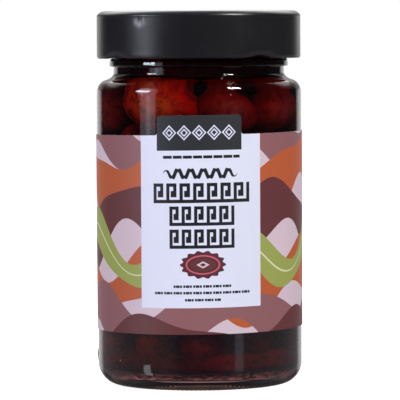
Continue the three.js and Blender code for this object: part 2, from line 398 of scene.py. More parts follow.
@dataclass(frozen=True)
class ClearGlass(Finish):
    """Flint glass with the faint waves of a blown jar."""

    name: str = "clear_glass"
    tint: Colour = (0.985, 0.99, 0.985)
    reflected: Colour = (1.0, 1.0, 1.0)
    passed: Colour = (0.94, 0.94, 0.94)
    ior: float = 1.5
    wave_height: float = 0.02

    def material(self) -> bpy.types.Material:
        """Makes the glass.

        Returns:
            The new material.
        """
        material, nodes, shader, output = self.start()
        waves = Mottle.put(nodes, 45.0, (1, 1, 0.6)).outputs
        nodes.feed(shader, {
            "Base Color": nodes.mix(waves["Tone"], (*self.tint, 1), WHITE),
            "Normal": nodes.bump(waves["Height"], 0.5, self.wave_height),
            "Roughness": 0.0, "IOR": self.ior, "Transmission Weight": 1.0,
            "Specular Tint": (*self.reflected, 1)})
        self.let_light_through(nodes, shader, output, self.passed)
        return material


@dataclass(frozen=True)
class DarkBrine(Finish):
    """Clear brine stained by the olives, red where it is thin and black where it is deep."""

    name: str = "olive_brine"
    stain: Colour = (0.86, 0.14, 0.05)
    strength: float = 520.0
    passed: Colour = (0.97, 0.97, 0.97)
    ior: float = 1.33
    ripple_height: float = 0.02

    def material(self) -> bpy.types.Material:
        """Makes the brine.

        Returns:
            The new material.
        """
        material, nodes, shader, output = self.start()
        ripple = Mottle.put(nodes, 60.0).outputs["Height"]
        nodes.feed(shader, {
            "Normal": nodes.bump(ripple, 0.2, self.ripple_height), "Base Color": WHITE, "Roughness": 0.0,
            "IOR": self.ior, "Transmission Weight": 1.0, "Specular Tint": (0.0, 0.0, 0.0, 1)})
        stain = nodes.add("ShaderNodeVolumeAbsorption", {"Color": (*self.stain, 1), "Density": self.strength})
        nodes.feed(output, {"Volume": stain.outputs[0]})
        self.let_light_through(nodes, shader, output, self.passed)
        return material


@dataclass(frozen=True)
class SatinLacquer(Finish):
    """Black satin lacquer on tinplate, with a lighter scuff where an attribute marks it, partly a painted
    glint on the dents.
    """

    name: str = "black_lacquer"
    colour: Colour = (0.0070, 0.0070, 0.0082)
    scuff_glint_colour: Colour = (0.26, 0.26, 0.27)
    roughness: float = 0.30
    grain_height: float = 0.012

    def material(self) -> bpy.types.Material:
        """Makes the lacquer.

        Returns:
            The new material.
        """
        material, nodes, shader, _ = self.start()
        cloud = Mottle.put(nodes, 90.0, contrast=1.4).outputs["Tone"]
        grain = Mottle.put(nodes, 5200.0).outputs
        # Lighter lacquer at the dents: partly a scuff, partly a painted glint.
        scratchy_scuff_glint = nodes.math("MULTIPLY", nodes.attribute("scuff"), nodes.ramp(grain["Tone"], 0.35, 0.6))
        base = nodes.mix(cloud, (*self.colour, 1), (*(c * 1.25 for c in self.colour), 1))
        nodes.feed(shader, {
            "Base Color": nodes.mix(scratchy_scuff_glint, base, (*self.scuff_glint_colour, 1)),
            "Roughness": nodes.math("MULTIPLY_ADD", cloud, 0.10, self.roughness - 0.05),
            "Normal": nodes.bump(grain["Height"], 0.25, self.grain_height)})
        return material


@dataclass(frozen=True)
class PrintedPaper(Finish):
    """Coated label paper. The ink is a colour attribute."""

    name: str = "label_paper"
    roughness: float = 0.5
    fibre_height: float = 0.02

    def material(self) -> bpy.types.Material:
        """Makes the printed paper.

        Returns:
            The new material.
        """
        material, nodes, shader, _ = self.start()
        fibre = Mottle.put(nodes, 2600.0, (1, 1, 1.6)).outputs
        cloud = Mottle.put(nodes, 120.0).outputs["Tone"]
        tone = nodes.math("MULTIPLY_ADD", fibre["Tone"], 0.07, 0.93)
        tone = nodes.math("MULTIPLY", tone, nodes.math("MULTIPLY_ADD", cloud, 0.05, 0.975))
        nodes.feed(shader, {
            "Base Color": nodes.scaled(nodes.attribute("ink", "Color"), tone),
            "Roughness": nodes.math("MULTIPLY_ADD", fibre["Tone"], 0.12, self.roughness - 0.06),
            "Normal": nodes.bump(fibre["Height"], 0.3, self.fibre_height)})
        return material


@dataclass(frozen=True)
class OliveSkin(Finish):
    """Waxy olive skin, from red-brown to purple-black, mottled, a tone for each olive."""

    name: str = "olive_skin"
    ripe: Colour = (0.15, 0.026, 0.032)
    ruddy: Colour = (0.52, 0.12, 0.03)
    flesh: Colour = (0.70, 0.42, 0.30)
    blotch_tone: float = 0.25
    speck_height: float = 0.1
    roughness: float = 0.4
    ior: float = 1.12

    def material(self) -> bpy.types.Material:
        """Makes the skin.

        Returns:
            The new material.
        """
        material, nodes, shader, _ = self.start()
        tone = nodes.attribute("tone")
        patches = Mottle.put(nodes, 190.0, (1, 1, 1), nodes.math("MULTIPLY", tone, 3.7), 2.2).outputs["Tone"]
        specks = Mottle.put(nodes, 900.0).outputs["Height"]
        blend = nodes.math("ADD", tone, nodes.math("MULTIPLY_ADD", patches, 0.5, -0.25))
        skin = nodes.mix(nodes.ramp(blend, 0.0, 1.0), (*self.ripe, 1), (*self.ruddy, 1))
        blotch = Mottle.put(nodes, 330.0, (1, 1, 1), tone, 2.6).outputs["Tone"]
        dark = (*(c * self.blotch_tone for c in self.ripe), 1)
        speckled = nodes.mix(nodes.ramp(blotch, 0.2, 1.1, 0.0, 0.8), skin, dark)
        nodes.feed(shader, {
            "Base Color": nodes.mix(nodes.attribute("cut"), speckled, (*self.flesh, 1)),
            "Normal": nodes.bump(specks, 0.3, self.speck_height),
            "Roughness": self.roughness, "IOR": self.ior})
        return material


@dataclass(frozen=True)
class BubbleSkin(Finish):
    """Near-white opaque skin for the bubbles, a painted glint for the silvery look of air in a liquid."""

    name: str = "air_bubble"

    def material(self) -> bpy.types.Material:
        """Makes the bubble's surface.

        Returns:
            The new material.
        """
        material, nodes, shader, _ = self.start()
        tone = Mottle.put(nodes, 300.0).outputs["Tone"]
        nodes.feed(shader, {"Base Color": nodes.mix(tone, (0.85, 0.85, 0.85, 1), WHITE), "Roughness": 0.2})
        return material


@dataclass(frozen=True)
class PaleFloor(Finish):
    """A matt white studio floor, lit from below like a light table."""

    name: str = "pale_floor"
    glow: float = 0.7

    def material(self) -> bpy.types.Material:
        """Makes the floor.

        Returns:
            The new material.
        """
        material, nodes, shader, _ = self.start()
        tone = Mottle.put(nodes, 8.0).outputs["Tone"]
        white = nodes.mix(tone, (0.9, 0.9, 0.9, 1), (0.93, 0.93, 0.93, 1))
        nodes.feed(shader, {"Base Color": white, "Roughness": 0.9, "Specular IOR Level": 0.0,
                            "Emission Color": WHITE, "Emission Strength": self.glow})
        return material


@dataclass(frozen=True)
class ShadedTable(Finish):
    """The glowing table under the jar, all painted light and shade: a brown painted shadow in its shade, a
    paler painted glow in the middle, painted light at the knurls, and paler painted light further out.
    """

    name: str = "shaded_table"
    shade: Colour = (0.016, 0.010, 0.007)
    leak: Colour = (1.2, 0.4, 0.4)
    far: Colour = (0.25, 0.2, 0.17)
    middle_glow: Colour = (0.33, 0.25, 0.22)
    middle_glow_edge: float = 25.0
    leak_inside: float = 26.0
    leak_outside: float = 33.0
    near_edge: float = 50.0
    far_edge: float = 120.0

    def material(self) -> bpy.types.Material:
        """Makes the shaded table.

        Returns:
            The new material.
        """
        material, nodes, shader, _ = self.start()
        spots = Mottle.put(nodes, 420.0, contrast=1.6).outputs["Tone"]
        where = nodes.add("ShaderNodeTexCoord").outputs["Object"]
        away = nodes.add("ShaderNodeVectorMath", {0: where}, operation="LENGTH").outputs["Value"]
        inner, outer, edge = (size * MM for size in (self.leak_inside, self.leak_outside, self.middle_glow_edge))
        # Painted light leaking in at the knurls.
        at_ring = nodes.math("MULTIPLY", nodes.ramp(away, inner, inner + 0.001),
                             nodes.ramp(away, outer, outer - 0.002))
        leaking = nodes.math("MULTIPLY", nodes.ramp(spots, 0.35, 0.7), at_ring)
        shaded = nodes.mix(leaking, (*self.shade, 1), (*self.leak, 1))
        # Painted glow in the middle.
        shaded = nodes.mix(nodes.ramp(away, edge, edge - 0.002), shaded, (*self.middle_glow, 1))
        # Paler painted light further out, beyond the painted shadow.
        tone = nodes.mix(nodes.ramp(away, self.near_edge * MM, self.far_edge * MM), shaded, (*self.far, 1))
        nodes.feed(shader, {"Emission Color": tone, "Base Color": (0, 0, 0, 1), "Specular IOR Level": 0.0,
                            "Emission Strength": 1.0})
        return material


@dataclass(frozen=True)
class GlassForm:
    """The jar's section, which the glass, the brine and the olives share."""

    body_radius: float = 35.5
    wall: float = 2.5
    push_up: float = 3.2
    floor_height: float = 6.9
    inner_low: float = 4.0
    ring_inner_radius: float = 26.8
    ring_outer_radius: float = 28.4
    heel_height: float = 7.3
    shoulder_bottom: float = 101.0
    shoulder_height: float = 6.0
    shoulder_curve: Point = (4.3, 4.6)
    neck_flare: tuple[Point, ...] = (
        (32.72, 105.32), (32.15, 105.5), (31.6, 105.68), (31.1, 105.9), (30.65, 106.17),
        (30.28, 106.5), (30.0, 106.88), (29.74, 107.25), (29.62, 107.55), (29.6, 108.0))
    neck_radius: float = 29.6
    neck_top: float = 110.0
    bead_radius: float = 31.1
    bead_top: float = 112.4
    bead_round: float = 0.5
    bead_lean: float = 9.0
    finish_radius: float = 33.0
    finish_bottom: float = 116.2
    lip_round: float = 1.9
    mouth_top: float = 127.4
    mouth_bore: float = 28.2
    mouth_depth: float = 3.4
    mouth_round: float = 1.0
    swell: float = 1.3
    heel_draw: Point = (0.6, 1.3)

    @property
    def bore(self) -> float:
        """Radius of the inner wall of the body."""
        return self.body_radius - self.wall

    @property
    def neck_bore(self) -> float:
        """Radius of the inner wall of the neck."""
        return self.neck_radius - self.wall

    @property
    def inner_shoulder(self) -> float:
        """Height where the inner wall starts to draw in."""
        return self.shoulder_bottom - 0.8

    def outside(self, pieces: int) -> list[Point]:
        """The outer profile.

        Args:
            pieces: Steps in each curve.

        Returns:
            The points, from the middle of the push-up to the mouth.
        """
        ring, lip, turn = self.ring_inner_radius, self.lip_round, self.bead_round
        heel = self.body_radius - self.ring_outer_radius
        bead = self.bead_radius - turn
        steps = np.linspace(0, 0.97, pieces // 2)
        dome = [(ring * t, self.push_up * (1 - t * t) ** self.swell) for t in steps]
        return [
            *dome, (ring - 0.35, 0.12), (ring, 0.0),
            *arc(self.ring_outer_radius, self.heel_height, heel, self.heel_height, -90, 0, pieces),
            *arc(self.body_radius - self.shoulder_curve[0], self.shoulder_bottom, *self.shoulder_curve,
                 0, 62, pieces),
            *self.neck_flare, (self.neck_radius, self.neck_top - 0.2),
            *arc(bead, self.neck_top + 0.55, turn, turn, -70, self.bead_lean, 6),
            *arc(bead - 0.25, self.bead_top - 0.3, turn, turn, self.bead_lean, 80, 6),
            (self.bead_radius - 0.8, self.bead_top + 0.4),
            (self.finish_radius - 0.5, self.finish_bottom - 0.8),
            (self.finish_radius, self.finish_bottom),
            (self.finish_radius, self.mouth_top - 1.8),
            *arc(self.finish_radius - lip, self.mouth_top - lip, lip, lip, 5, 90, 6),
        ]

    def inside(self, pieces: int, into_wall: float = 0.0) -> list[Point]:
        """The inner profile, from the bead's height down to the middle of the floor.

        Args:
            pieces: Steps in each curve.
            into_wall: How far the profile is moved into the glass.

        Returns:
            The points, highest first.
        """
        across, upwards = self.heel_draw
        heel = (self.body_radius - self.ring_outer_radius - across, self.heel_height - upwards)
        low, rise, deep = self.inner_low, self.floor_height - self.inner_low, into_wall
        return [
            (self.neck_bore + deep, self.bead_top),
            *arc(self.neck_bore, self.inner_shoulder, self.bore - self.neck_bore + deep,
                 self.shoulder_height + deep, 90, 0, pieces),
            *arc(self.bore - heel[0], low + heel[1], heel[0] + deep, heel[1] + deep, 0, -90, pieces),
            *((r * (self.bore - heel[0]), low - deep + rise * (1 - r * r) ** self.swell)
              for r in (0.9, 0.75, 0.5, 0.25)),
            (0.0, self.floor_height - deep),
        ]

    def bore_radius(self, height: float) -> float:
        """Radius of the inner wall.

        Args:
            height: Height where it is wanted.

        Returns:
            The radius there.
        """
        above = height - self.inner_shoulder
        if above <= 0:
            return self.bore
        if above >= self.shoulder_height:
            return self.neck_bore
        drawn_in = math.sqrt(1 - (above / self.shoulder_height) ** 2)
        return self.neck_bore + (self.bore - self.neck_bore) * drawn_in


@dataclass
class Jar:
    """The glass, with a knurled bearing ring, a spotting bar and a slip in the neck bead."""

    form: GlassForm
    finish: ClearGlass
    wet_finish: ClearGlass
    wet_level: float = 117.5
    segments: int = 480
    knurls: int = 120
    knurl_depth: float = 0.12
    knurl_height: float = 2.0
    slip_azimuth: float = 22.0
    slip_width: float = 6.0
    slip_drop: float = 0.5
    bar_azimuth: float = -88.0
    bar_height: float = 9.4
    bar_length: float = 2.6
    bar_width: float = 0.6
    bar_proud: float = 0.28
    bar_lean: float = 40.0

    def _warp(self, azimuth: np.ndarray, radius: np.ndarray, height: np.ndarray) -> tuple:
        """Lets the bead slip and raises the spotting bar.

        Args:
            azimuth: Azimuths in radians.
            radius: Radii in millimetres.
            height: Heights in millimetres.

        Returns:
            The three arrays, changed.
        """
        form = self.form
        degrees = np.degrees((azimuth + math.pi) % (2 * math.pi) - math.pi)
        outer = radius > form.neck_bore + 1.0
        at_bead = smoothstep(height, form.neck_top - 2.5, form.neck_top) * (height < form.bead_top + 0.4)
        slip = np.exp(-((degrees - self.slip_azimuth) / self.slip_width) ** 2)
        height = height - self.slip_drop * slip * at_bead * outer
        along = (degrees - self.bar_azimuth) * math.pi / 180 * form.body_radius
        above = height - self.bar_height
        lean = math.radians(self.bar_lean)
        across = along * math.cos(lean) - above * math.sin(lean)
        lengthwise = along * math.sin(lean) + above * math.cos(lean)
        bar = (1 - smoothstep(abs(across), self.bar_width / 2, self.bar_width)) * (
            1 - smoothstep(abs(lengthwise), self.bar_length / 2, self.bar_length / 2 + 0.4))
        on_wall = radius > form.bore + 1.0
        return azimuth, radius + self.bar_proud * bar * on_wall, height

    def _knurl_tree(self) -> bpy.types.NodeTree:
        """Builds the tree that presses knurls into the bearing ring.

        Returns:
            A geometry node tree with inputs Geometry, Knurls, Depth, Height, Inner Radius, Glass and
            Wet Glass.
        """
        tree = bpy.data.node_groups.new("Bearing knurls", "GeometryNodeTree")
        named_sockets(tree, [("Geometry", "Geometry"), ("Knurls", "Float", 100.0), ("Depth", "Float", 0.0),
                             ("Height", "Float", 0.0), ("Inner Radius", "Float", 0.0),
                             ("Glass", "Material"), ("Wet Glass", "Material")], [("Geometry", "Geometry")])
        nodes = Nodes(tree)
        given = nodes.add("NodeGroupInput").outputs
        position = nodes.add("GeometryNodeInputPosition").outputs[0]
        x, y, z = nodes.add("ShaderNodeSeparateXYZ", {0: position}).outputs
        angle = nodes.math("ARCTAN2", x, y)
        wave = nodes.math("COSINE", nodes.math("MULTIPLY", angle, given["Knurls"]))
        groove = nodes.math("MULTIPLY_ADD", wave, -0.5, 0.5)
        low = nodes.math("SUBTRACT", 1.0, nodes.math("DIVIDE", z, given["Height"]))
        low = nodes.add("ShaderNodeClamp", {0: nodes.math("MULTIPLY", low, 3.0)}).outputs[0]
        outside = nodes.math("GREATER_THAN", nodes.hypot(x, y), given["Inner Radius"])
        amount = nodes.math("MULTIPLY", nodes.math("MULTIPLY", groove, low), outside)
        depth = nodes.math("MULTIPLY", nodes.math("MULTIPLY", amount, given["Depth"]), -1.0)
        offset = nodes.scaled(nodes.add("GeometryNodeInputNormal").outputs[0], depth)
        pressed = nodes.add("GeometryNodeSetPosition", {"Geometry": given["Geometry"], "Offset": offset})
        whole = nodes.add("GeometryNodeRealizeInstances", {0: pressed.outputs[0]})
        wet = nodes.add("GeometryNodeInputNamedAttribute", {"Name": "wet"}, data_type="BOOLEAN").outputs[0]
        dry = nodes.add("GeometryNodeSetMaterial", {"Geometry": whole.outputs[0], "Material": given["Glass"]})
        dressed = nodes.add("GeometryNodeSetMaterial", {
            "Geometry": dry.outputs[0], "Selection": wet, "Material": given["Wet Glass"]})
        nodes.add("NodeGroupOutput", {0: dressed.outputs[0]})
        return tree

    def build(self) -> bpy.types.Object:
        """Makes and dresses the glass.

        Returns:
            The finished piece.
        """
        form = self.form
        turn = form.mouth_round
        edge = form.mouth_bore + turn
        mouth = [(edge, form.mouth_top), *arc(edge, form.mouth_top - turn, turn, turn, 100, 180, 4),
                 (form.mouth_bore, form.mouth_top - form.mouth_depth)]
        outside = refined(form.outside(18), 3.0)
        profile = outside + refined(mouth + form.inside(12), 4.0)
        points, faces = turned(profile, self.segments, self._warp)
        blank = mesh_object("jar_glass", points, faces)
        dry = (len(outside) - 1) * self.segments
        wet = [min(f) >= dry and points[list(f), 2].max() < self.wet_level for f in faces]
        put_attribute(blank.data, "wet", "BOOLEAN", wet, "FACE")
        piece = worked(blank, self._knurl_tree(), {
            "Knurls": float(self.knurls), "Depth": self.knurl_depth * MM, "Height": self.knurl_height * MM,
            "Inner Radius": (form.ring_inner_radius - 0.2) * MM, "Glass": self.finish.material(),
            "Wet Glass": self.wet_finish.material()})
        place(piece, "glass", "glass_jar")
        return piece


def worked(blank: bpy.types.Object, tree: bpy.types.NodeTree, values: dict) -> bpy.types.Object:
    """Runs a geometry node tree on an object and keeps the result as a plain mesh.

    Args:
        blank: The object that the tree works on.
        tree: The tree.
        values: Modifier inputs by socket name.

    Returns:
        The same object with the result as its mesh and no modifier.
    """
    modifier = blank.modifiers.new(tree.name, "NODES")
    modifier.node_group = tree
    for item in tree.interface.items_tree:
        if item.item_type == "SOCKET" and item.in_out == "INPUT" and item.name in values:
            modifier[item.identifier] = values[item.name]
    bpy.context.view_layer.update()
    evaluated = blank.evaluated_get(bpy.context.evaluated_depsgraph_get())
    mesh = bpy.data.meshes.new_from_object(evaluated)
    blank.modifiers.remove(modifier)
    mesh.name = blank.name
    blank.data = mesh
    return blank


@dataclass
class TwistLid:
    """The pressed lid: sunk panel, raised rim, creased corner, straight skirt, curl with lugs."""

    finish: SatinLacquer
    segments: int = 360
    radius: float = 35.35
    bottom: float = 112.8
    top: float = 129.2
    sheet: float = 0.5
    curl_radius: float = 0.9
    rim_width: float = 2.4
    panel_drop: float = 0.65
    button_radius: float = 14.0
    button_rise: float = 0.3
    crease_height: float = 127.35
    shoulder_height: float = 128.05
    rim_curve: tuple[Point, ...] = (
        (2.6, 0.0), (2.2, 0.03), (1.85, 0.11), (1.5, 0.25), (1.15, 0.45), (0.82, 0.7), (0.5, 0.98),
        (0.28, 1.16))
    lugs: int = 4
    first_lug: float = 37.0
    lug_half_angle: float = 13.0
    lug_push: float = 1.0
    lug_lift: float = 0.6
    dents: tuple[tuple[float, float, float], ...] = (
        (-36.6, 126.0, 0.22), (-34.2, 125.2, 0.26), (-31.9, 126.1, 0.2))
    dent_width: float = 0.75
    scuff_glint_size: Point = (0.55, 0.9)

    def _profile(self) -> list[Point]:
        """The lid's section.

        Returns:
            The points, from the middle of its top round the curl to the middle inside.
        """
        panel = self.top - self.panel_drop
        under = panel - self.sheet
        button, rise = self.button_radius, self.button_rise
        rim = self.radius - 1.3 - self.rim_width
        curl = self.bottom + self.curl_radius
        inner = self.radius - self.sheet
        return [
            (0, panel + rise), (button - 2.2, panel + rise), (button - 1.6, panel + rise * 0.85),
            (button - 0.6, panel + rise * 0.15), (button, panel),
            (rim - 1.6, panel), (rim - 1.2, panel + 0.08), (rim - 0.4, self.top - 0.12),
            (rim, self.top - 0.02), (rim + 0.3, self.top),
            *((self.radius - inwards, self.top - below) for inwards, below in self.rim_curve),
            (self.radius - 0.21, self.shoulder_height - 0.1), (self.radius - 0.05, self.crease_height + 0.15),
            (self.radius, self.crease_height), (self.radius - 0.03, self.crease_height - 0.2),
            (self.radius - 0.02, self.crease_height - 0.9), (self.radius - 0.02, curl + 1.2),
            (self.radius, curl + 0.6),
            *arc(self.radius - self.curl_radius, curl, self.curl_radius, self.curl_radius, 0, -180, 12),
            (inner - 0.7, curl + 0.7), (inner, curl + 1.1), (inner, under - 0.9),
            *arc(inner - 0.9, under - 0.9, 0.9, 0.9, 20, 90, 4), (0, under),
        ]

    def _warp(self, azimuth: np.ndarray, radius: np.ndarray, height: np.ndarray) -> tuple:
        """Presses in the lugs and the dents.

        Args:
            azimuth: Azimuths in radians.
            radius: Radii in millimetres.
            height: Heights in millimetres.

        Returns:
            The three arrays, changed.
        """
        degrees = np.degrees(azimuth)
        pitch = 360 / self.lugs
        offset = (degrees - self.first_lug + pitch / 2) % pitch - pitch / 2
        across = 1 - smoothstep(abs(offset), 0, self.lug_half_angle)
        pressed = across * (1 - smoothstep(height, self.bottom, self.bottom + 2.2))
        radius = radius - self.lug_push * pressed
        height = height + self.lug_lift * pressed
        outer = radius > self.radius - self.sheet * 0.8
        for at, level, depth in self.dents:
            along = ((degrees - at + 180) % 360 - 180) * math.pi / 180 * self.radius
            distance = np.hypot(along / self.dent_width, (height - level) / (1.6 * self.dent_width))
            radius = radius - depth * np.exp(-distance ** 2) * outer
        return azimuth, radius, height

    def _mark_scuff_and_glint(self, mesh: bpy.types.Mesh) -> None:
        """Marks where the lacquer is scuffed, partly a painted glint on the dents, as a point attribute.

        Args:
            mesh: The lid's mesh.
        """
        points = np.zeros(len(mesh.vertices) * 3, np.float32)
        mesh.vertices.foreach_get("co", points)
        x, y, z = points.reshape(-1, 3).T / MM
        degrees = np.degrees(np.arctan2(x, -y))
        mark = np.zeros(len(x))
        for at, level, _ in self.dents:
            along = (degrees - at) * math.pi / 180 * self.radius
            mark += np.exp(-np.hypot(along / self.scuff_glint_size[0], (z - level) / self.scuff_glint_size[1]) ** 2)
        mark *= np.hypot(x, y) > self.radius - self.sheet * 0.8
        put_attribute(mesh, "scuff", "FLOAT", np.clip(mark, 0, 1))

    def build(self) -> bpy.types.Object:
        """Makes and dresses the lid.

        Returns:
            The finished piece.
        """
        points, faces = turned(refined(self._profile(), 0.8), self.segments, self._warp)
        piece = mesh_object("twist_lid", points, faces, sharp_degrees=60)
        self._mark_scuff_and_glint(piece.data)
        place(piece, "lid", "lid", material=self.finish.material())
        return piece


class Ink(Enum):
    """Colours of the label, scene-linear."""

    PAPER = (0.72, 0.73, 0.88)
    SLATE = (0.022, 0.024, 0.028)
    BLACK = (0.010, 0.010, 0.013)
    ORANGE = (0.47, 0.094, 0.026)
    MAUVE = (0.26, 0.103, 0.112)
    MAROON = (0.125, 0.029, 0.031)
    PINK = (0.64, 0.50, 0.57)
    GREEN = (0.31, 0.35, 0.08)
    CREAM = (0.66, 0.66, 0.40)
    ROSE = (0.55, 0.10, 0.14)
    WINE = (0.10, 0.018, 0.028)
    BACK = (0.8, 0.8, 0.82)


Patch = tuple[Ink, list[Point]]


def oval(u: float, v: float, half_width: float, half_height: float, tilt: float = 0.0,
         start: float = 0.0, stop: float = 360.0, pieces: int = 56) -> list[Point]:
    """Points of an oval or a part of one that is cut straight.

    Args:
        u: Place of the centre round the jar.
        v: Height of the centre.
        half_width: Half width before the tilt.
        half_height: Half height before the tilt.
        tilt: Turn in degrees, anticlockwise.
        start: First angle in degrees.
        stop: Last angle in degrees.
        pieces: Straight pieces in a full turn.

    Returns:
        The outline.
    """
    steps = max(6, round(pieces * (stop - start) / 360))
    across, upwards = math.cos(math.radians(tilt)), math.sin(math.radians(tilt))
    outline = []
    closed = stop - start >= 360
    for angle in np.radians(np.linspace(start, stop, steps + 1)[: steps if closed else None]):
        x, y = half_width * math.cos(angle), half_height * math.sin(angle)
        outline.append((u + x * across - y * upwards, v + x * upwards + y * across))
    return outline


def lozenge(u: float, v: float, half_width: float, half_height: float) -> list[Point]:
    """Corners of an upright lozenge."""
    return [(u + half_width, v), (u, v + half_height), (u - half_width, v), (u, v - half_height)]


def bar(left: float, low: float, right: float, high: float) -> list[Point]:
    """Corners of an upright rectangle."""
    return [(left, low), (right, low), (right, high), (left, high)]


@dataclass
class PrintedLabel:
    """A paper wrap, open at the back, with a tab above its top edge at the front."""

    finish: PrintedPaper
    inner_radius: float = 35.62
    outer_radius: float = 35.77
    bottom: float = 19.8
    top: float = 87.2
    gap_width: float = 14.0
    tab_half_width: float = 14.7
    tab_rise: float = 6.6
    tab_corner: float = 1.1
    tab_foot: float = 0.8
    tab_bottom: float = 82.0
    skew_degrees: float = 0.62
    strip: float = 1.4
    panel_centre: float = 0.5
    panel_half_width: float = 21.4
    panel_bottom: float = 28.8
    lozenges: int = 5
    lozenge_step: float = 5.1
    lozenge_size: float = 2.6
    lozenge_height: float = 88.0
    bead_row: tuple[float, ...] = (0.6, 79.8, 27.5, 1.0, 1.15)
    pen_wave: tuple[float, ...] = (-12.6, 13.2, 74.2, 1.1, 1.5, 6)
    key_bands: tuple[tuple[float, ...], ...] = (
        (-16.0, 64.3, 16.4, 71.0, 7, 1.15), (-10.3, 56.6, 10.9, 63.2, 5, 1.1),
        (-10.3, 48.9, 10.9, 55.4, 5, 1.1))
    fine_rows: tuple[Point, ...] = ((36.1, 20.4), (33.9, 34.5), (31.5, 13.0))
    fine_middle: float = 0.9
    fine_size: float = 0.85
    fine_step: float = 1.12
    rosette: Point = (1.1, 43.4)
    scallops: int = 14
    back_panel: float = 74.0
    back_rules: int = 9
    lowest_rule: float = 32.0
    rule_step: float = 5.6
    wave_length: float = 58.0
    ribbon_steps: int = 190
    ribbons: tuple[tuple[Ink, float, float, float, float], ...] = (
        (Ink.MAUVE, 85.0, 13.0, 5.0, 0.4),
        (Ink.ORANGE, 72.5, 17.0, 6.5, 2.4),
        (Ink.MAROON, 56.5, 15.0, 7.5, 4.4),
        (Ink.ORANGE, 37.0, 14.0, 6.0, 3.0),
        (Ink.GREEN, 48.0, 10.5, 8.5, 0.9),
        (Ink.CREAM, 48.2, 0.6, 8.5, 0.9),
        (Ink.MAUVE, 25.0, 14.0, 5.0, 0.6),
        (Ink.MAROON, 17.0, 10.0, 4.0, 3.4),
    )

    @property
    def reach(self) -> float:
        """Half the label's length round the jar."""
        return self.outer_radius * (math.pi - math.asin(self.gap_width / 2 / self.outer_radius))

    def _outline(self) -> list[Point]:
        """The cut edge of the flat label.

        Returns:
            Its corners, from the lower left one.
        """
        half, corner, foot = self.tab_half_width, self.tab_corner, self.tab_foot
        tip = self.top + self.tab_rise
        right = [
            *reversed(oval(half + foot, self.top + foot, foot, foot, 0, 180, 270, 32)),
            *oval(half - corner, tip - corner, corner, corner, 0, 0, 90, 32),
        ]
        left = [(-u, v) for u, v in reversed(right)]
        return [(-self.reach, self.bottom), (self.reach, self.bottom), (self.reach, self.top), *right, *left,
                (-self.reach, self.top)]

    @staticmethod
    def _key_band(left: float, low: float, right: float, high: float, units: int,
                  stroke: float) -> list[Patch]:
        """A band of traditional key pattern between two lines.

        Args:
            left: Left end.
            low: Lower edge.
            right: Right end.
            high: Upper edge.
            units: Number of keys.
            stroke: Width of the strokes.

        Returns:
            The patches of the band.
        """
        patches = []
        step = (right - left) / units
        hook, tip = low + (high - low) * 0.3, low + (high - low) * 0.62
        for i in range(units):
            x = left + i * step
            turn = x + stroke + (step - 3 * stroke) * 0.375
            for box in (
                (x, low, x + stroke, high),
                (x, high - stroke, x + step - stroke * 0.9, high),
                (x + step - 1.9 * stroke, hook, x + step - 0.9 * stroke, high),
                (turn, hook, x + step - stroke, hook + stroke),
                (turn, hook, turn + stroke, tip),
                (x, low, x + step + (stroke if i == units - 1 else 0), low + stroke),
            ):
                patches.append((Ink.BLACK, bar(*box)))
        patches.append((Ink.BLACK, bar(right, low, right + stroke, high)))
        return patches

    @staticmethod
    def _beads(middle: float, height: float, width: float, size: float, step: float) -> list[Patch]:
        """A row of small beads and dashes.

        Args:
            middle: Place of the row's middle.
            height: Its height.
            width: Its length.
            size: Thickness of a bead.
            step: Distance between beads.

        Returns:
            The patches of the row.
        """
        patches = []
        count = int(width / step)
        for i in range(count):
            u = middle + (i - (count - 1) / 2) * step
            long = size * (1.5 if i % 3 == 1 else 0.8)
            patches.append((Ink.BLACK, bar(u - long / 2, height - size / 2, u + long / 2, height + size / 2)))
        return patches

    @staticmethod
    def _wave(left: float, right: float, height: float, swing: float, stroke: float,
              turns: int) -> list[Patch]:
        """A wavy line that swells and thins like a pen stroke.

        Args:
            left: Left end.
            right: Right end.
            height: Height of its middle line.
            swing: How far it rises and falls.
            stroke: Greatest width of the line.
            turns: Number of waves.

        Returns:
            The line as one patch.
        """
        steps = 22 * turns
        upper, lower = [], []
        for i in range(steps + 1):
            t = i / steps
            u = left + (right - left) * t
            v = height + swing * math.sin(2 * math.pi * turns * t)
            swelling = 0.3 + 0.35 * (1 + math.cos(4 * math.pi * turns * t))
            half = stroke * swelling * min(1, 8 * t, 8 * (1 - t)) + 0.05
            upper.append((u, v + half))
            lower.append((u, v - half))
        return [(Ink.BLACK, upper + lower[::-1])]

    def _tab_patches(self) -> list[Patch]:
        """The slate tab with a plain frieze of double lozenges.

        Returns:
            The patches, lowest layer first.
        """
        half = self.tab_half_width
        patches: list[Patch] = [(Ink.SLATE, bar(-half, self.tab_bottom, half, self.top + self.tab_rise + 1))]
        for i in range(self.lozenges):
            u = (i - (self.lozenges - 1) / 2) * self.lozenge_step
            for scale, ink in ((1.0, Ink.PAPER), (0.78, Ink.SLATE), (0.54, Ink.PAPER), (0.32, Ink.SLATE)):
                size = self.lozenge_size * scale
                patches.append((ink, lozenge(u, self.lozenge_height, size * 0.95, size)))
        return patches

    def _panel_patches(self) -> list[Patch]:
        """The pale front panel with its ornament.

        Returns:
            The patches, lowest layer first.
        """
        left, right = (self.panel_centre + side * self.panel_half_width for side in (-1, 1))
        patches: list[Patch] = [(Ink.PAPER, bar(left, self.panel_bottom, right, self.top + 9))]
        patches += self._tab_patches()
        patches += self._beads(*self.bead_row)
        patches += self._wave(*self.pen_wave)
        for band in self.key_bands:
            patches += self._key_band(*band)
        for height, width in self.fine_rows:
            patches += self._beads(self.fine_middle, height, width, self.fine_size, self.fine_step)
        patches += self._rosette(*self.rosette)
        return patches

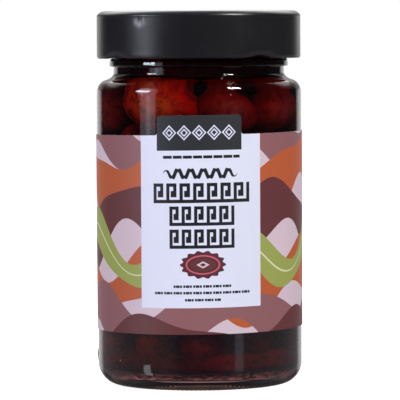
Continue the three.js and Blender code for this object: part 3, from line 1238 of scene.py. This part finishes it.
    def _rosette(self, u: float, v: float) -> list[Patch]:
        """A wine-red oval rosette with a scalloped edge.

        Args:
            u: Place of its centre round the jar.
            v: Height of its centre.

        Returns:
            The patches, lowest layer first.
        """
        edge = []
        for a in np.linspace(0, 2 * math.pi, 10 * self.scallops, endpoint=False):
            reach = 1 + 0.07 * math.cos(self.scallops * a)
            edge.append((u + 7.4 * reach * math.cos(a), v + 4.5 * reach * math.sin(a)))
        return [
            (Ink.WINE, edge),
            (Ink.ROSE, oval(u, v, 5.9, 3.3)),
            (Ink.WINE, oval(u, v, 5.3, 2.8)),
            (Ink.MAROON, oval(u, v, 4.4, 2.1)),
            (Ink.PINK, lozenge(u, v, 2.2, 1.2)),
            (Ink.WINE, lozenge(u, v, 1.1, 0.6)),
        ]

    def _ribbon(self, ink: Ink, height: float, width: float, swing: float, shift: float) -> Patch:
        """A wavy ribbon round the jar, wide and narrow by turns.

        Args:
            ink: Its colour.
            height: Mean height of its middle line.
            width: Mean width.
            swing: How far the middle line rises and falls.
            shift: Place of the wave, in radians.

        Returns:
            The patch.
        """
        upper, lower = [], []
        for u in np.linspace(-self.reach - 1, self.reach + 1, self.ribbon_steps):
            turn = 2 * math.pi * u / self.wave_length + shift
            middle = height + swing * math.sin(turn)
            half = width / 2 * (1 + 0.35 * math.sin(1.7 * turn + 2 * shift))
            upper.append((u, middle + half))
            lower.append((u, middle - half))
        return ink, upper + lower[::-1]

    def _back_patches(self) -> list[Patch]:
        """Plain pale panels with fine rules at both ends of the wrap.

        Returns:
            The patches, lowest layer first.
        """
        patches: list[Patch] = []
        for side in (-1, 1):
            near, far = sorted((side * self.back_panel, side * (self.reach + 1)))
            patches.append((Ink.PAPER, bar(near, self.bottom - 1, far, self.top + 1)))
            inner, outer = sorted((side * (self.back_panel + 4), side * (self.reach - 4)))
            for row in range(self.back_rules):
                v = self.lowest_rule + row * self.rule_step
                patches.append((Ink.SLATE, bar(inner, v, outer, v + 0.28)))
        return patches

    def _patches(self) -> list[Patch]:
        """Gathers the whole print.

        Returns:
            Every patch of ink, lowest layer first.
        """
        ground = (Ink.PINK, bar(-self.reach - 1, self.bottom - 1, self.reach + 1, self.top + 1))
        ribbons = [self._ribbon(*ribbon) for ribbon in self.ribbons]
        return [ground, *ribbons, *self._back_patches(), *self._panel_patches()]

    def _flat(self, patches: list[Patch]) -> tuple[np.ndarray, np.ndarray]:
        """Cuts the flat label into triangles along every printed edge.

        Args:
            patches: The patches of ink.

        Returns:
            Vertices as rows of (u, v), and triangles.
        """
        outline, tip = self._outline(), self.top + self.tab_rise
        points: list[Point] = []
        edges: list[tuple[int, int]] = []
        for loop in [outline, *(polygon for _, polygon in patches)]:
            start = len(points)
            points += [(min(max(u, -self.reach), self.reach), min(max(v, self.bottom), tip)) for u, v in loop]
            edges += [(start + i, start + (i + 1) % len(loop)) for i in range(len(loop))]
        strips = math.ceil(2 * self.reach / self.strip)
        for u in np.linspace(-self.reach, self.reach, strips + 1)[1:-1]:
            start = len(points)
            points += [(float(u), self.bottom), (float(u), tip)]
            edges.append((start, start + 1))
        cut = delaunay_2d_cdt([Vector(p) for p in points], edges, [], 0, 1e-4)
        flat = np.array([tuple(p) for p in cut[0]])
        triangles = np.array([t for t in cut[2] if len(t) == 3])
        middles = flat[triangles].mean(1)
        a, b, c = (flat[triangles[:, i]] for i in range(3))
        area = (b[:, 0] - a[:, 0]) * (c[:, 1] - a[:, 1]) - (b[:, 1] - a[:, 1]) * (c[:, 0] - a[:, 0])
        kept = inside_outline(middles, outline) & (abs(area) > 1e-7)
        triangles = np.where((area < 0)[:, None], triangles[:, ::-1], triangles)[kept]
        return flat, triangles

    def _wrap(self, flat: np.ndarray, radius: float) -> np.ndarray:
        """Bends flat points round the jar.

        Args:
            flat: Rows of (u, v).
            radius: Radius that they come to lie at.

        Returns:
            The points in space.
        """
        azimuth = flat[:, 0] / self.outer_radius
        height = flat[:, 1] + flat[:, 0] * math.tan(math.radians(self.skew_degrees))
        return np.stack([radius * np.sin(azimuth), -radius * np.cos(azimuth), height], -1)

    def build(self) -> bpy.types.Object:
        """Makes and dresses the label.

        Returns:
            The finished piece.
        """
        patches = self._patches()
        flat, triangles = self._flat(patches)
        used, triangles = np.unique(triangles, return_inverse=True)
        triangles = triangles.reshape(-1, 3)
        flat = flat[used]
        middles = flat[triangles].mean(1)
        colours = np.tile(np.array(Ink.PINK.value), (len(triangles), 1))
        for ink, polygon in patches:
            colours[inside_outline(middles, polygon)] = ink.value
        count = len(flat)
        sides = {(int(t[i]), int(t[(i + 1) % 3])): None for t in triangles for i in range(3)}
        rim = [(a, b) for a, b in sides if (b, a) not in sides]
        faces = [tuple(map(int, t)) for t in triangles]
        faces += [(int(c) + count, int(b) + count, int(a) + count) for a, b, c in triangles]
        faces += [(b, a, a + count, b + count) for a, b in rim]
        points = np.vstack([self._wrap(flat, self.outer_radius), self._wrap(flat, self.inner_radius)])
        piece = mesh_object("printed_label", points, faces, sharp_degrees=50)
        by_face = np.vstack([colours, np.tile(np.array(Ink.BACK.value), (len(triangles) + len(rim), 1))])
        sizes = np.array([len(f) for f in faces])
        by_corner = np.hstack([np.repeat(by_face, sizes, 0), np.ones((sizes.sum(), 1))])
        ink_layer = piece.data.color_attributes.new("ink", "FLOAT_COLOR", "CORNER")
        ink_layer.data.foreach_set("color", by_corner.astype(np.float32).ravel())
        place(piece, "label", "label", material=self.finish.material())
        return piece


def inside_outline(points: np.ndarray, outline: Sequence[Point]) -> np.ndarray:
    """Tells which points lie inside an outline.

    Args:
        points: Rows of (u, v).
        outline: Corners of the outline.

    Returns:
        A true value for each point inside.
    """
    corners = np.array(outline)
    result = np.zeros(len(points), bool)
    near = ((points >= corners.min(0)) & (points <= corners.max(0))).all(1)
    u, v = points[near].T
    crossed = np.zeros(near.sum(), bool)
    for (u0, v0), (u1, v1) in zip(corners, np.roll(corners, -1, 0)):
        if v0 == v1:
            continue
        hit = (v0 > v) != (v1 > v)
        crossed ^= hit & (u < (u1 - u0) * (v - v0) / (v1 - v0) + u0)
    result[near] = crossed
    return result


@dataclass
class Olive:
    """One olive: where it lies, the direction of its long axis and its two sizes."""

    centre: np.ndarray
    axis: np.ndarray
    length: float
    diameter: float
    placed: bool

    @property
    def tip(self) -> float:
        """Radius of the ball that stands for each end."""
        return self.diameter ** 2 / self.length / 2

    @property
    def arm(self) -> float:
        """Distance of the end balls from the centre."""
        return self.length / 2 - self.tip

    def balls(self) -> list[tuple[np.ndarray, float, int]]:
        """Centre, radius and side of the three balls that stand for the olive."""
        sizes = {-1: self.tip, 0: self.diameter / 2, 1: self.tip}
        return [(self.centre + self.axis * self.arm * side, radius, side) for side, radius in sizes.items()]

    def push(self, side: int, shift: np.ndarray) -> None:
        """Moves the olive by a push on one of its balls, which also turns it.

        Args:
            side: The ball: -1 or 1 at an end, 0 in the middle.
            shift: How far the ball is pushed.
        """
        if self.placed:
            return
        self.centre = self.centre + shift * (1.0 if side == 0 else 0.6)
        self.axis = self.axis + shift * (0.4 * side / self.arm)
        self.axis = self.axis / np.linalg.norm(self.axis)

    def reach(self, direction: np.ndarray) -> float:
        """How far the olive reaches from its centre in a direction."""
        lengthwise = float(self.axis @ direction) ** 2
        return math.sqrt((self.length / 2) ** 2 * lengthwise + (self.diameter / 2) ** 2 * (1 - lengthwise))


@dataclass
class OliveHeap:
    """Uneven olives packed against the wall, round a dark core, as the solid heap has them."""

    form: GlassForm
    finish: OliveSkin
    length: float = 24.0
    diameter: float = 16.0
    unevenness: float = 0.16
    taper: float = 0.7
    tiers: int = 7
    in_each_tier: int = 8
    clearance: float = 0.6
    bottom: float = 7.2
    top: float = 105.2
    core_radius: float = 23.5
    neck_core_radius: float = 18.5
    foot_radius: float = 30.0
    core_top: float = 113.0
    foot_depth: float = 1.6
    core_lump: float = 2.6
    core_tone: float = -0.06
    low_painted_light: float = 0.03
    low_light_range: Point = (18.0, 34.0)
    first_lit_tone: float = 0.95
    placed_tone: float = 0.12
    least_tone: float = 0.05
    tone_spread: float = 0.3
    lump_height: float = 1.3
    lumps_per_metre: float = 110.0
    lump_middle: float = 0.62
    seed: int = 3
    lowest_tier: float = 14.6
    highest_tier: float = 97.0
    crowding: float = 13.0
    near_lengths: float = 1.2
    shoulder_look: float = 0.3
    drift: float = 0.1
    rounds: int = 160
    placed: tuple[tuple[float, float, float, float, float], ...] = (
        (-27.5, 96.6, 170, 28.5, 18.4), (21, 94.3, 162, 22.5, 15.5), (61, 94.6, 12, 24, 16))

    @staticmethod
    def scatter(item: int, draw: int) -> float:
        """A repeatable number from 0 to 1 for a pair of counts."""
        wave = math.sin(item * ITEM_STEP + draw * DRAW_STEP) * STRETCH
        return wave - math.floor(wave)

    def _olive(self, azimuth: float, height: float, pitch: float, length: float, diameter: float,
               placed: bool) -> Olive:
        """Lays an olive against the wall.

        Args:
            azimuth: Azimuth in radians.
            height: Height of its centre.
            pitch: Angle of its long axis above the horizontal, in radians.
            length: Its length.
            diameter: Its diameter.
            placed: Whether it keeps its place as the heap settles.

        Returns:
            The olive.
        """
        out = np.array([math.sin(azimuth), -math.cos(azimuth), 0.0])
        axis = np.array([-out[1], out[0], 0.0]) * math.cos(pitch) + np.array([0, 0, math.sin(pitch)])
        centre = out * (self.form.bore_radius(height) - self.clearance - diameter / 2)
        centre[2] = height
        return Olive(centre, axis, length, diameter, placed)

    def _contain(self, olive: Olive) -> None:
        """Draws an olive to the wall and keeps it inside the wall, the floor and the heap's top.

        Args:
            olive: The olive, which stays where it is if it is a placed one.
        """
        if olive.placed:
            return
        flat = np.array([olive.centre[0], olive.centre[1], 0.0])
        radius = float(np.linalg.norm(flat))
        out = flat / radius
        upwards = olive.reach(np.array([0.0, 0.0, 1.0]))
        height = min(max(olive.centre[2], self.bottom + upwards), self.top - upwards)
        wall = self.form.bore_radius(height + self.shoulder_look * olive.diameter)
        room = wall - self.clearance - olive.reach(out)
        olive.centre = out * min(radius + self.drift, room)
        olive.centre[2] = height

    def settled(self) -> list[Olive]:
        """Packs the olives by the rule that the solid heap follows.

        Returns:
            The olives, the placed ones first.
        """
        heap = [self._olive(math.radians(a), h, math.radians(p), length, d, True)
                for a, h, p, length, d in self.placed]
        step = (self.highest_tier - self.lowest_tier) / (self.tiers - 1)
        for item in range(self.tiers * self.in_each_tier):
            tier, i = divmod(item, self.in_each_tier)
            draw = [self.scatter(item, kind) for kind in range(6)]
            azimuth = (i + 0.5 * (tier % 2) + 0.3 * draw[1]) / self.in_each_tier * 2 * math.pi
            size = 1 + self.unevenness * (draw[3] - 0.6)
            slim = 1 + self.unevenness * (draw[4] - 0.5)
            olive = self._olive(
                azimuth, self.lowest_tier + step * tier + 3 * (draw[2] - 0.5), math.pi * (draw[5] - 0.5),
                self.length * size * slim, self.diameter * size, False)
            if not any(o.placed and np.linalg.norm(o.centre - olive.centre) < self.crowding for o in heap):
                heap.append(olive)
        for _ in range(self.rounds):
            for i, first in enumerate(heap):
                for second in heap[i + 1:]:
                    if np.abs(first.centre - second.centre).max() < self.near_lengths * self.length:
                        self._part(first, second)
                self._contain(first)
        for olive in heap:
            self._contain(olive)
            hole_shows = -olive.axis[1] if olive.centre[1] < 0 else olive.axis @ olive.centre
            if not olive.placed and hole_shows > 0:
                olive.axis = -olive.axis
        return heap

    def _part(self, first: Olive, second: Olive) -> None:
        """Pushes two olives apart where they overlap.

        Args:
            first: One olive.
            second: The other one.
        """
        if np.linalg.norm(first.centre - second.centre) > self.near_lengths * self.length:
            return
        mine, theirs = first.balls(), second.balls()
        for place_a, radius_a, side_a in mine:
            for place_b, radius_b, side_b in theirs:
                away = place_a - place_b
                distance = math.sqrt(float(away @ away))
                overlap = radius_a + radius_b - distance
                if overlap > 0:
                    shift = away * (overlap / 2 / distance)
                    first.push(side_a, shift)
                    second.push(side_b, -shift)

    def _one_olive(self) -> bpy.types.Object:
        """A pitted olive of unit length and width, its hole at the top.

        Returns:
            The pattern, with its cut flesh marked by an attribute.
        """
        body = [(0.5 * math.cos(a) ** (1.0 + self.taper * max(math.sin(-a), 0.0)), 0.5 * math.sin(a))
                for a in np.radians(np.linspace(-88, 71, 20))]
        hole = [(0.145, 0.484), (0.118, 0.480), (0.105, 0.465), (0.10, 0.44), (0.095, 0.38), (0.085, 0.32)]
        profile = [(0, -0.5), *((r, min(z, 0.487)) for r, z in body), *hole, (0, 0.31)]
        points, faces = turned(profile, 28)
        piece = mesh_object("olive_pattern", points / MM, faces, sharp_degrees=80)
        flesh = (points[:, 2] > 0.3) & (np.hypot(points[:, 0], points[:, 1]) < 0.125)
        put_attribute(piece.data, "cut", "FLOAT", flesh.astype(np.float32))
        return piece

    def _heap_tree(self) -> bpy.types.NodeTree:
        """Builds the tree that lays an olive at every point.

        Returns:
            A geometry node tree with inputs Geometry, Olive, Unevenness, Lumps, Seed and Skin.
        """
        tree = bpy.data.node_groups.new("Olive heap", "GeometryNodeTree")
        named_sockets(tree, [("Geometry", "Geometry"), ("Olive", "Object"), ("Unevenness", "Float", 0.0),
                             ("Lumps", "Float", 100.0), ("Seed", "Int", 3), ("Skin", "Material")],
                      [("Geometry", "Geometry")])
        nodes = Nodes(tree)
        given = nodes.add("NodeGroupInput").outputs
        pattern = nodes.add("GeometryNodeObjectInfo", {"Object": given["Olive"]})

        def named(name: str, kind: str) -> Socket:
            """Reads an attribute of the points."""
            return nodes.add("GeometryNodeInputNamedAttribute", {"Name": name}, data_type=kind).outputs[0]

        lean = nodes.add("FunctionNodeAlignRotationToVector", {"Vector": named("long_axis", "FLOAT_VECTOR")},
                         axis="Z")
        spin = nodes.add("FunctionNodeRandomValue", {2: 0.0, 3: 2 * math.pi, "Seed": given["Seed"]},
                         data_type="FLOAT")
        twist = nodes.add("ShaderNodeCombineXYZ", {"Z": spin.outputs[1]})
        turn = nodes.add("FunctionNodeRotateRotation", {0: lean.outputs[0], 1: twist.outputs[0]},
                         rotation_space="LOCAL")
        laid = nodes.add("GeometryNodeInstanceOnPoints", {
            "Points": given["Geometry"], "Instance": pattern.outputs["Geometry"],
            "Rotation": turn.outputs[0], "Scale": named("size", "FLOAT_VECTOR")})
        whole = nodes.add("GeometryNodeRealizeInstances", {0: laid.outputs[0]})
        where = nodes.add("GeometryNodeInputPosition").outputs[0]
        shift = nodes.math("MULTIPLY", named("tone", "FLOAT"), 17.0)
        lumps = nodes.add("ShaderNodeTexNoise", {
            "Vector": where, "W": shift, "Scale": given["Lumps"], "Detail": 1.0}, noise_dimensions="4D")
        raised = nodes.math("SUBTRACT", lumps.outputs[0], self.lump_middle)
        swell = nodes.math("MULTIPLY", raised, given["Unevenness"])
        offset = nodes.scaled(nodes.add("GeometryNodeInputNormal").outputs[0], swell)
        uneven = nodes.add("GeometryNodeSetPosition", {"Geometry": whole.outputs[0], "Offset": offset})
        dressed = nodes.add("GeometryNodeSetMaterial", {
            "Geometry": uneven.outputs[0], "Material": given["Skin"]})
        nodes.add("NodeGroupOutput", {0: dressed.outputs[0]})
        return tree

    def _core(self) -> tuple[np.ndarray, list[list[int]]]:
        """The lumpy core that closes the view between the olives.

        Returns:
            Its vertices in millimetres, and its faces.
        """
        neck, foot, low = self.neck_core_radius, self.foot_radius, self.bottom
        profile = [(0, low + 0.2), (14, low - 0.7), (foot - 6, low - self.foot_depth),
                   (foot - 2, low - self.foot_depth), (foot, low), (foot, low + 4),
                   (self.core_radius, low + 12),
                   (self.core_radius, self.form.shoulder_bottom - 5), (neck, self.form.shoulder_bottom),
                   (neck, self.core_top - 1.5), (neck - 3, self.core_top), (0, self.core_top)]

        def lumpy(azimuth: np.ndarray, radius: np.ndarray, height: np.ndarray) -> tuple:
            """Draws the surface in between the lumps.

            Args:
                azimuth: Azimuths in radians.
                radius: Radii in millimetres.
                height: Heights in millimetres.

            Returns:
                The three arrays, changed.
            """
            around = np.sin(azimuth * 4 + 0.9 * np.sin(height / 9))
            upwards = np.sin(height / 7.6 + 0.6 * np.sin(azimuth * 3))
            return azimuth, radius - self.core_lump * (1 - np.abs(around * upwards)) * (radius > 4), height

        return turned(refined(profile, 2.2), 72, lumpy)

    def build(self) -> bpy.types.Object:
        """Makes and dresses the heap.

        Returns:
            The finished piece.
        """
        olives = self.settled()
        cloud = mesh_object("olive_heap", np.array([o.centre for o in olives]), [])
        sizes = [(o.diameter * MM, o.diameter * MM, o.length * MM) for o in olives]
        put_attribute(cloud.data, "long_axis", "FLOAT_VECTOR", [o.axis for o in olives], field="vector")
        put_attribute(cloud.data, "size", "FLOAT_VECTOR", sizes, field="vector")
        put_attribute(cloud.data, "tone", "FLOAT", [self._tone(i, o) for i, o in enumerate(olives)])
        pattern = self._one_olive()
        skin = self.finish.material()
        piece = worked(cloud, self._heap_tree(), {
            "Olive": pattern, "Unevenness": self.lump_height * MM, "Lumps": self.lumps_per_metre,
            "Seed": self.seed, "Skin": skin})
        bpy.data.objects.remove(pattern)
        piece.data.shade_smooth()
        place(piece, "olives", "olives")
        core = mesh_object("olive_core", *self._core())
        heights = np.array([vertex.co.z for vertex in core.data.vertices]) / MM
        # Painted light: the core is painted ruddier low in the jar, to lift the shade between the olives.
        tone_with_low_light = self.core_tone + (1 - smoothstep(heights, *self.low_light_range)) * self.low_painted_light
        put_attribute(core.data, "tone", "FLOAT", tone_with_low_light)
        place(core, "olives", material=skin)
        return piece

    def _tone(self, item: int, olive: Olive) -> float:
        """How ruddy an olive is.

        Args:
            item: Its count in the heap. The first one is painted by far the ruddiest, as painted light for
                the lamps that it catches.
            olive: The olive.

        Returns:
            Its tone, from 0 to 1.
        """
        # Painted light: the first olive's ruddy tone stands in for the light that it catches.
        if item == 0:
            return self.first_lit_tone
        if olive.placed:
            return self.placed_tone
        low = 1 - float(smoothstep(np.array(olive.centre[2]), *self.low_light_range))
        # Painted light: low olives are painted a little ruddier, to lift the shade between them.
        return self.least_tone + self.tone_spread * self.scatter(item, 9) + self.low_painted_light * low


@dataclass
class Brine:
    """The liquid round the olives, which reaches just into the glass, and a few air bubbles."""

    form: GlassForm
    finish: DarkBrine
    bubble_finish: BubbleSkin
    level: float = 117.0
    meniscus: float = 0.5
    into_wall: float = 0.15
    bubble_gap: float = 0.35
    bubbles: tuple[tuple[float, float, float], ...] = (
        (15.2, 105.4, 0.32), (18.5, 107.2, 0.42), (20.6, 107.3, 0.3), (18.6, 102.4, 0.34),
        (18.8, 100.6, 0.22), (-53.7, 9.6, 0.25))

    def build(self) -> bpy.types.Object:
        """Makes and dresses the brine.

        Returns:
            The finished piece.
        """
        form, deep = self.form, self.into_wall
        rise = (form.mouth_bore - form.neck_bore) / (form.mouth_top - form.mouth_depth - form.bead_top)
        edge = form.neck_bore + deep + rise * (self.level + self.meniscus - form.bead_top)
        profile = [(0, self.level), (edge - 3.0, self.level), (edge - 1.2, self.level + 0.12),
                   (edge - 0.5, self.level + 0.28), (edge, self.level + self.meniscus),
                   *form.inside(16, deep)]
        points, faces = turned(refined(profile, 3.0), 240)
        piece = mesh_object("brine", points, faces, sharp_degrees=60)
        place(piece, "olives", material=self.finish.material())
        self._build_bubbles()
        return piece

    def _build_bubbles(self) -> None:
        """Makes the bubbles that cling to the glass."""
        all_points, all_faces = [], []
        for azimuth, height, radius in self.bubbles:
            profile = arc(0, 0, radius, radius, 90, -90, 10)
            points, faces = turned([(0, radius), *profile[1:-1], (0, -radius)], 14)
            angle = math.radians(azimuth)
            distance = self.form.bore_radius(height) - radius - self.bubble_gap
            centre = np.array([distance * math.sin(angle), -distance * math.cos(angle), height])
            start = sum(len(p) for p in all_points)
            all_points.append(points + centre)
            all_faces += [[start + i for i in f] for f in faces]
        piece = mesh_object("air_bubbles", np.vstack(all_points), all_faces)
        place(piece, "olives", material=self.bubble_finish.material())


@dataclass(frozen=True)
class Lamp:
    """A rectangular area light that faces the jar."""

    name: str
    azimuth: float
    elevation: float
    distance: float
    width: float
    height: float
    radiance: float
    in_gloss: bool = True
    tint: Colour = (1.0, 1.0, 1.0)
    aim_height: float = 0.07

    def build(self) -> None:
        """Adds the light to the scene."""
        light = bpy.data.lights.new(self.name, "AREA")
        light.shape = "RECTANGLE"
        light.size, light.size_y = self.width, self.height
        light.energy = self.radiance * math.pi * self.width * self.height
        light.color = self.tint
        lamp = bpy.data.objects.new(self.name, light)
        around, up = math.radians(self.azimuth), math.radians(self.elevation)
        towards = Vector((math.sin(around) * math.cos(up), -math.cos(around) * math.cos(up), math.sin(up)))
        lamp.location = towards * self.distance + Vector((0, 0, self.aim_height))
        lamp.rotation_euler = towards.to_track_quat("Z", "Y").to_euler()
        lamp.visible_camera = False
        lamp.visible_glossy = self.in_gloss
        lamp.visible_transmission = self.in_gloss
        bpy.context.scene.collection.objects.link(lamp)


@dataclass
class Studio:
    """Camera, floor, lamps and surroundings."""

    floor_finish: PaleFloor
    shade_finish: ShadedTable
    floor_half: float = 3000.0
    floor_height: float = -0.02
    shade_radius: float = 150.0
    shade_top: float = -0.1
    shade_bottom: float = -0.3
    table_ahead: Colour = (0.16, 0.15, 0.21)
    table_aside: Colour = (0.33, 0.31, 0.34)
    dark_front: Colour = (0.027, 0.028, 0.034)
    soft_light: Colour = (0.36, 0.36, 0.37)
    beyond_low: Colour = (0.04, 0.028, 0.022)
    beyond_high: Colour = (0.34, 0.25, 0.19)
    distance: float = 1.080
    camera_height: float = 0.1185
    camera_side: float = 0.0002
    pitch: float = -2.916
    roll: float = -0.3
    lens: float = 279.6
    sensor: float = 36.0
    lamps: tuple[Lamp, ...] = (
        Lamp("left_strip", -62.0, 0, 1.4, 0.32, 0.30, 1.0, tint=SKYLIGHT),
        Lamp("left_softbox", -66.0, 20, 1.3, 0.34, 0.72, 3.6, tint=SKYLIGHT),
        Lamp("left_window", -67.0, 17, 1.3, 0.38, 0.26, 12.0, tint=SKYLIGHT),
        Lamp("left_reflector", -61.5, -20, 1.3, 0.20, 0.50, 2.4, tint=SKYLIGHT),
        Lamp("left_scrim", -55.0, 15, 1.3, 0.28, 0.8, 1.3, tint=SKYLIGHT),
        Lamp("right_reflector", 44.0, -9, 1.4, 0.24, 0.25, 0.5, tint=SKYLIGHT),
        Lamp("key", 46, 40, 1.6, 0.3, 0.3, 56.0),
        Lamp("front_fill", 12, 6, 1.3, 0.8, 0.5, 2.2, in_gloss=False),
        Lamp("overhead", 0, 88, 1.0, 0.9, 0.9, 5.0, in_gloss=False),
    )

    def _camera(self) -> None:
        """Sets up the camera in front of the jar."""
        camera = bpy.data.cameras.new("camera")
        camera.lens, camera.sensor_width = self.lens, self.sensor
        camera.clip_start, camera.clip_end = 0.05, 50
        holder = bpy.data.objects.new("camera", camera)
        tilt = Euler((math.radians(90 + self.pitch), 0, 0)).to_matrix()
        turn = Euler((0, 0, math.radians(self.roll))).to_matrix()
        place_at = Matrix.Translation((self.camera_side, -self.distance, self.camera_height))
        holder.matrix_world = place_at @ (tilt @ turn).to_4x4()
        bpy.context.scene.collection.objects.link(holder)
        bpy.context.scene.camera = holder

    def _floor(self) -> None:
        """Lays the floor, and under the jar the table that only rays through the glass see."""
        half = self.floor_half
        corners = ((-half, -half), (half, -half), (half, half), (-half, half))
        points = np.array([(x, y, self.floor_height) for x, y in corners])
        floor = mesh_object("floor", points, [[0, 1, 2, 3]])
        floor.data.materials.append(self.floor_finish.material())
        floor.visible_glossy = floor.visible_diffuse = floor.visible_transmission = False
        top, bottom, rim = self.shade_top, self.shade_bottom, self.shade_radius
        shade = mesh_object("shaded_table", *turned([(0, top), (rim, top), (rim, bottom), (0, bottom)], 96))
        shade.data.materials.append(self.shade_finish.material())
        shade.visible_camera = shade.visible_diffuse = shade.visible_glossy = shade.visible_shadow = False

    def _surroundings(self) -> None:
        """Sets up the room that each kind of ray sees.

        The camera sees white and soft light is a plain grey. Reflections see a room that is bright
        behind and dark in front, and rays that come through the glass see a dim one.
        """
        world = bpy.data.worlds.new("studio")
        world.use_nodes = True
        world.node_tree.nodes.clear()
        nodes = Nodes(world.node_tree)
        direction = nodes.add("ShaderNodeTexCoord").outputs["Generated"]
        x, y, z = nodes.add("ShaderNodeSeparateXYZ", {0: direction}).outputs
        # x is to the right, y away from the camera and z up, each from -1 to 1
        side = nodes.math("ABSOLUTE", x)
        level = nodes.math("MAXIMUM", nodes.hypot(x, y), 0.001)
        behind = nodes.add("ShaderNodeMix", {
            0: nodes.ramp(z, 0.15, 0.45), 2: nodes.ramp(nodes.math("DIVIDE", y, level), 0.76, 0.88),
            3: nodes.ramp(y, 0.35, 0.7)}, data_type="FLOAT").outputs[0]
        aside = nodes.math("MULTIPLY", nodes.ramp(side, 0.2, 0.45), nodes.ramp(z, 0.1, 0.3))
        low_sky = nodes.math("MULTIPLY", nodes.ramp(z, 0.03, 0.1), nodes.ramp(z, 0.45, 0.3))
        backdrop = nodes.ramp(z, 0.1, 0.95, 1.0, 9.0)
        for share in (nodes.ramp(z, -0.3, -0.13, 0.1, 1.0), nodes.ramp(aside, 0.0, 1.0, 1.0, 0.3),
                      nodes.ramp(low_sky, 0.0, 1.0, 1.0, 0.4)):
            backdrop = nodes.math("MULTIPLY", backdrop, share)
        table = nodes.mix(nodes.ramp(side, 0.3, 0.65), (*self.table_ahead, 1), (*self.table_aside, 1))
        front = nodes.mix(nodes.ramp(z, -0.09, -0.05), table, (*self.dark_front, 1))
        room = nodes.mix(behind, front, backdrop)
        path = nodes.add("ShaderNodeLightPath").outputs
        soft = nodes.mix(path["Is Diffuse Ray"], room, (*self.soft_light, 1))
        beyond = nodes.mix(nodes.ramp(z, 0.4, 0.5), (*self.beyond_low, 1), (*self.beyond_high, 1))
        through = nodes.mix(path["Is Transmission Ray"], soft, beyond)
        seen = nodes.mix(path["Is Camera Ray"], through, WHITE)
        background = nodes.add("ShaderNodeBackground", {"Color": seen, "Strength": 1.0})
        nodes.add("ShaderNodeOutputWorld", {"Surface": background.outputs[0]})
        world.cycles.sampling_method = "NONE"
        bpy.context.scene.world = world

    def build(self) -> None:
        """Sets up the whole studio."""
        self._camera()
        self._floor()
        self._surroundings()
        for lamp in self.lamps:
            lamp.build()
        scene = bpy.context.scene
        scene.view_settings.view_transform = "Standard"
        scene.view_settings.look = "None"
        scene.cycles.max_bounces = 28
        scene.cycles.transmission_bounces = 24
        scene.cycles.glossy_bounces = 10
        scene.cycles.diffuse_bounces = 4
        scene.cycles.transparent_max_bounces = 32
        scene.cycles.caustics_reflective = False
        scene.cycles.caustics_refractive = False
        scene.cycles.use_denoising = True
        LOG.info("studio ready")


def main() -> None:
    """Builds every piece in order."""
    form = GlassForm()
    Studio(PaleFloor(), ShadedTable()).build()
    Jar(form, ClearGlass(), ClearGlass("wet_glass", reflected=(0.06, 0.06, 0.06))).build()
    TwistLid(SatinLacquer()).build()
    PrintedLabel(PrintedPaper()).build()
    OliveHeap(form, OliveSkin()).build()
    Brine(form, DarkBrine(), BubbleSkin()).build()


if __name__ == "__main__":
    main()
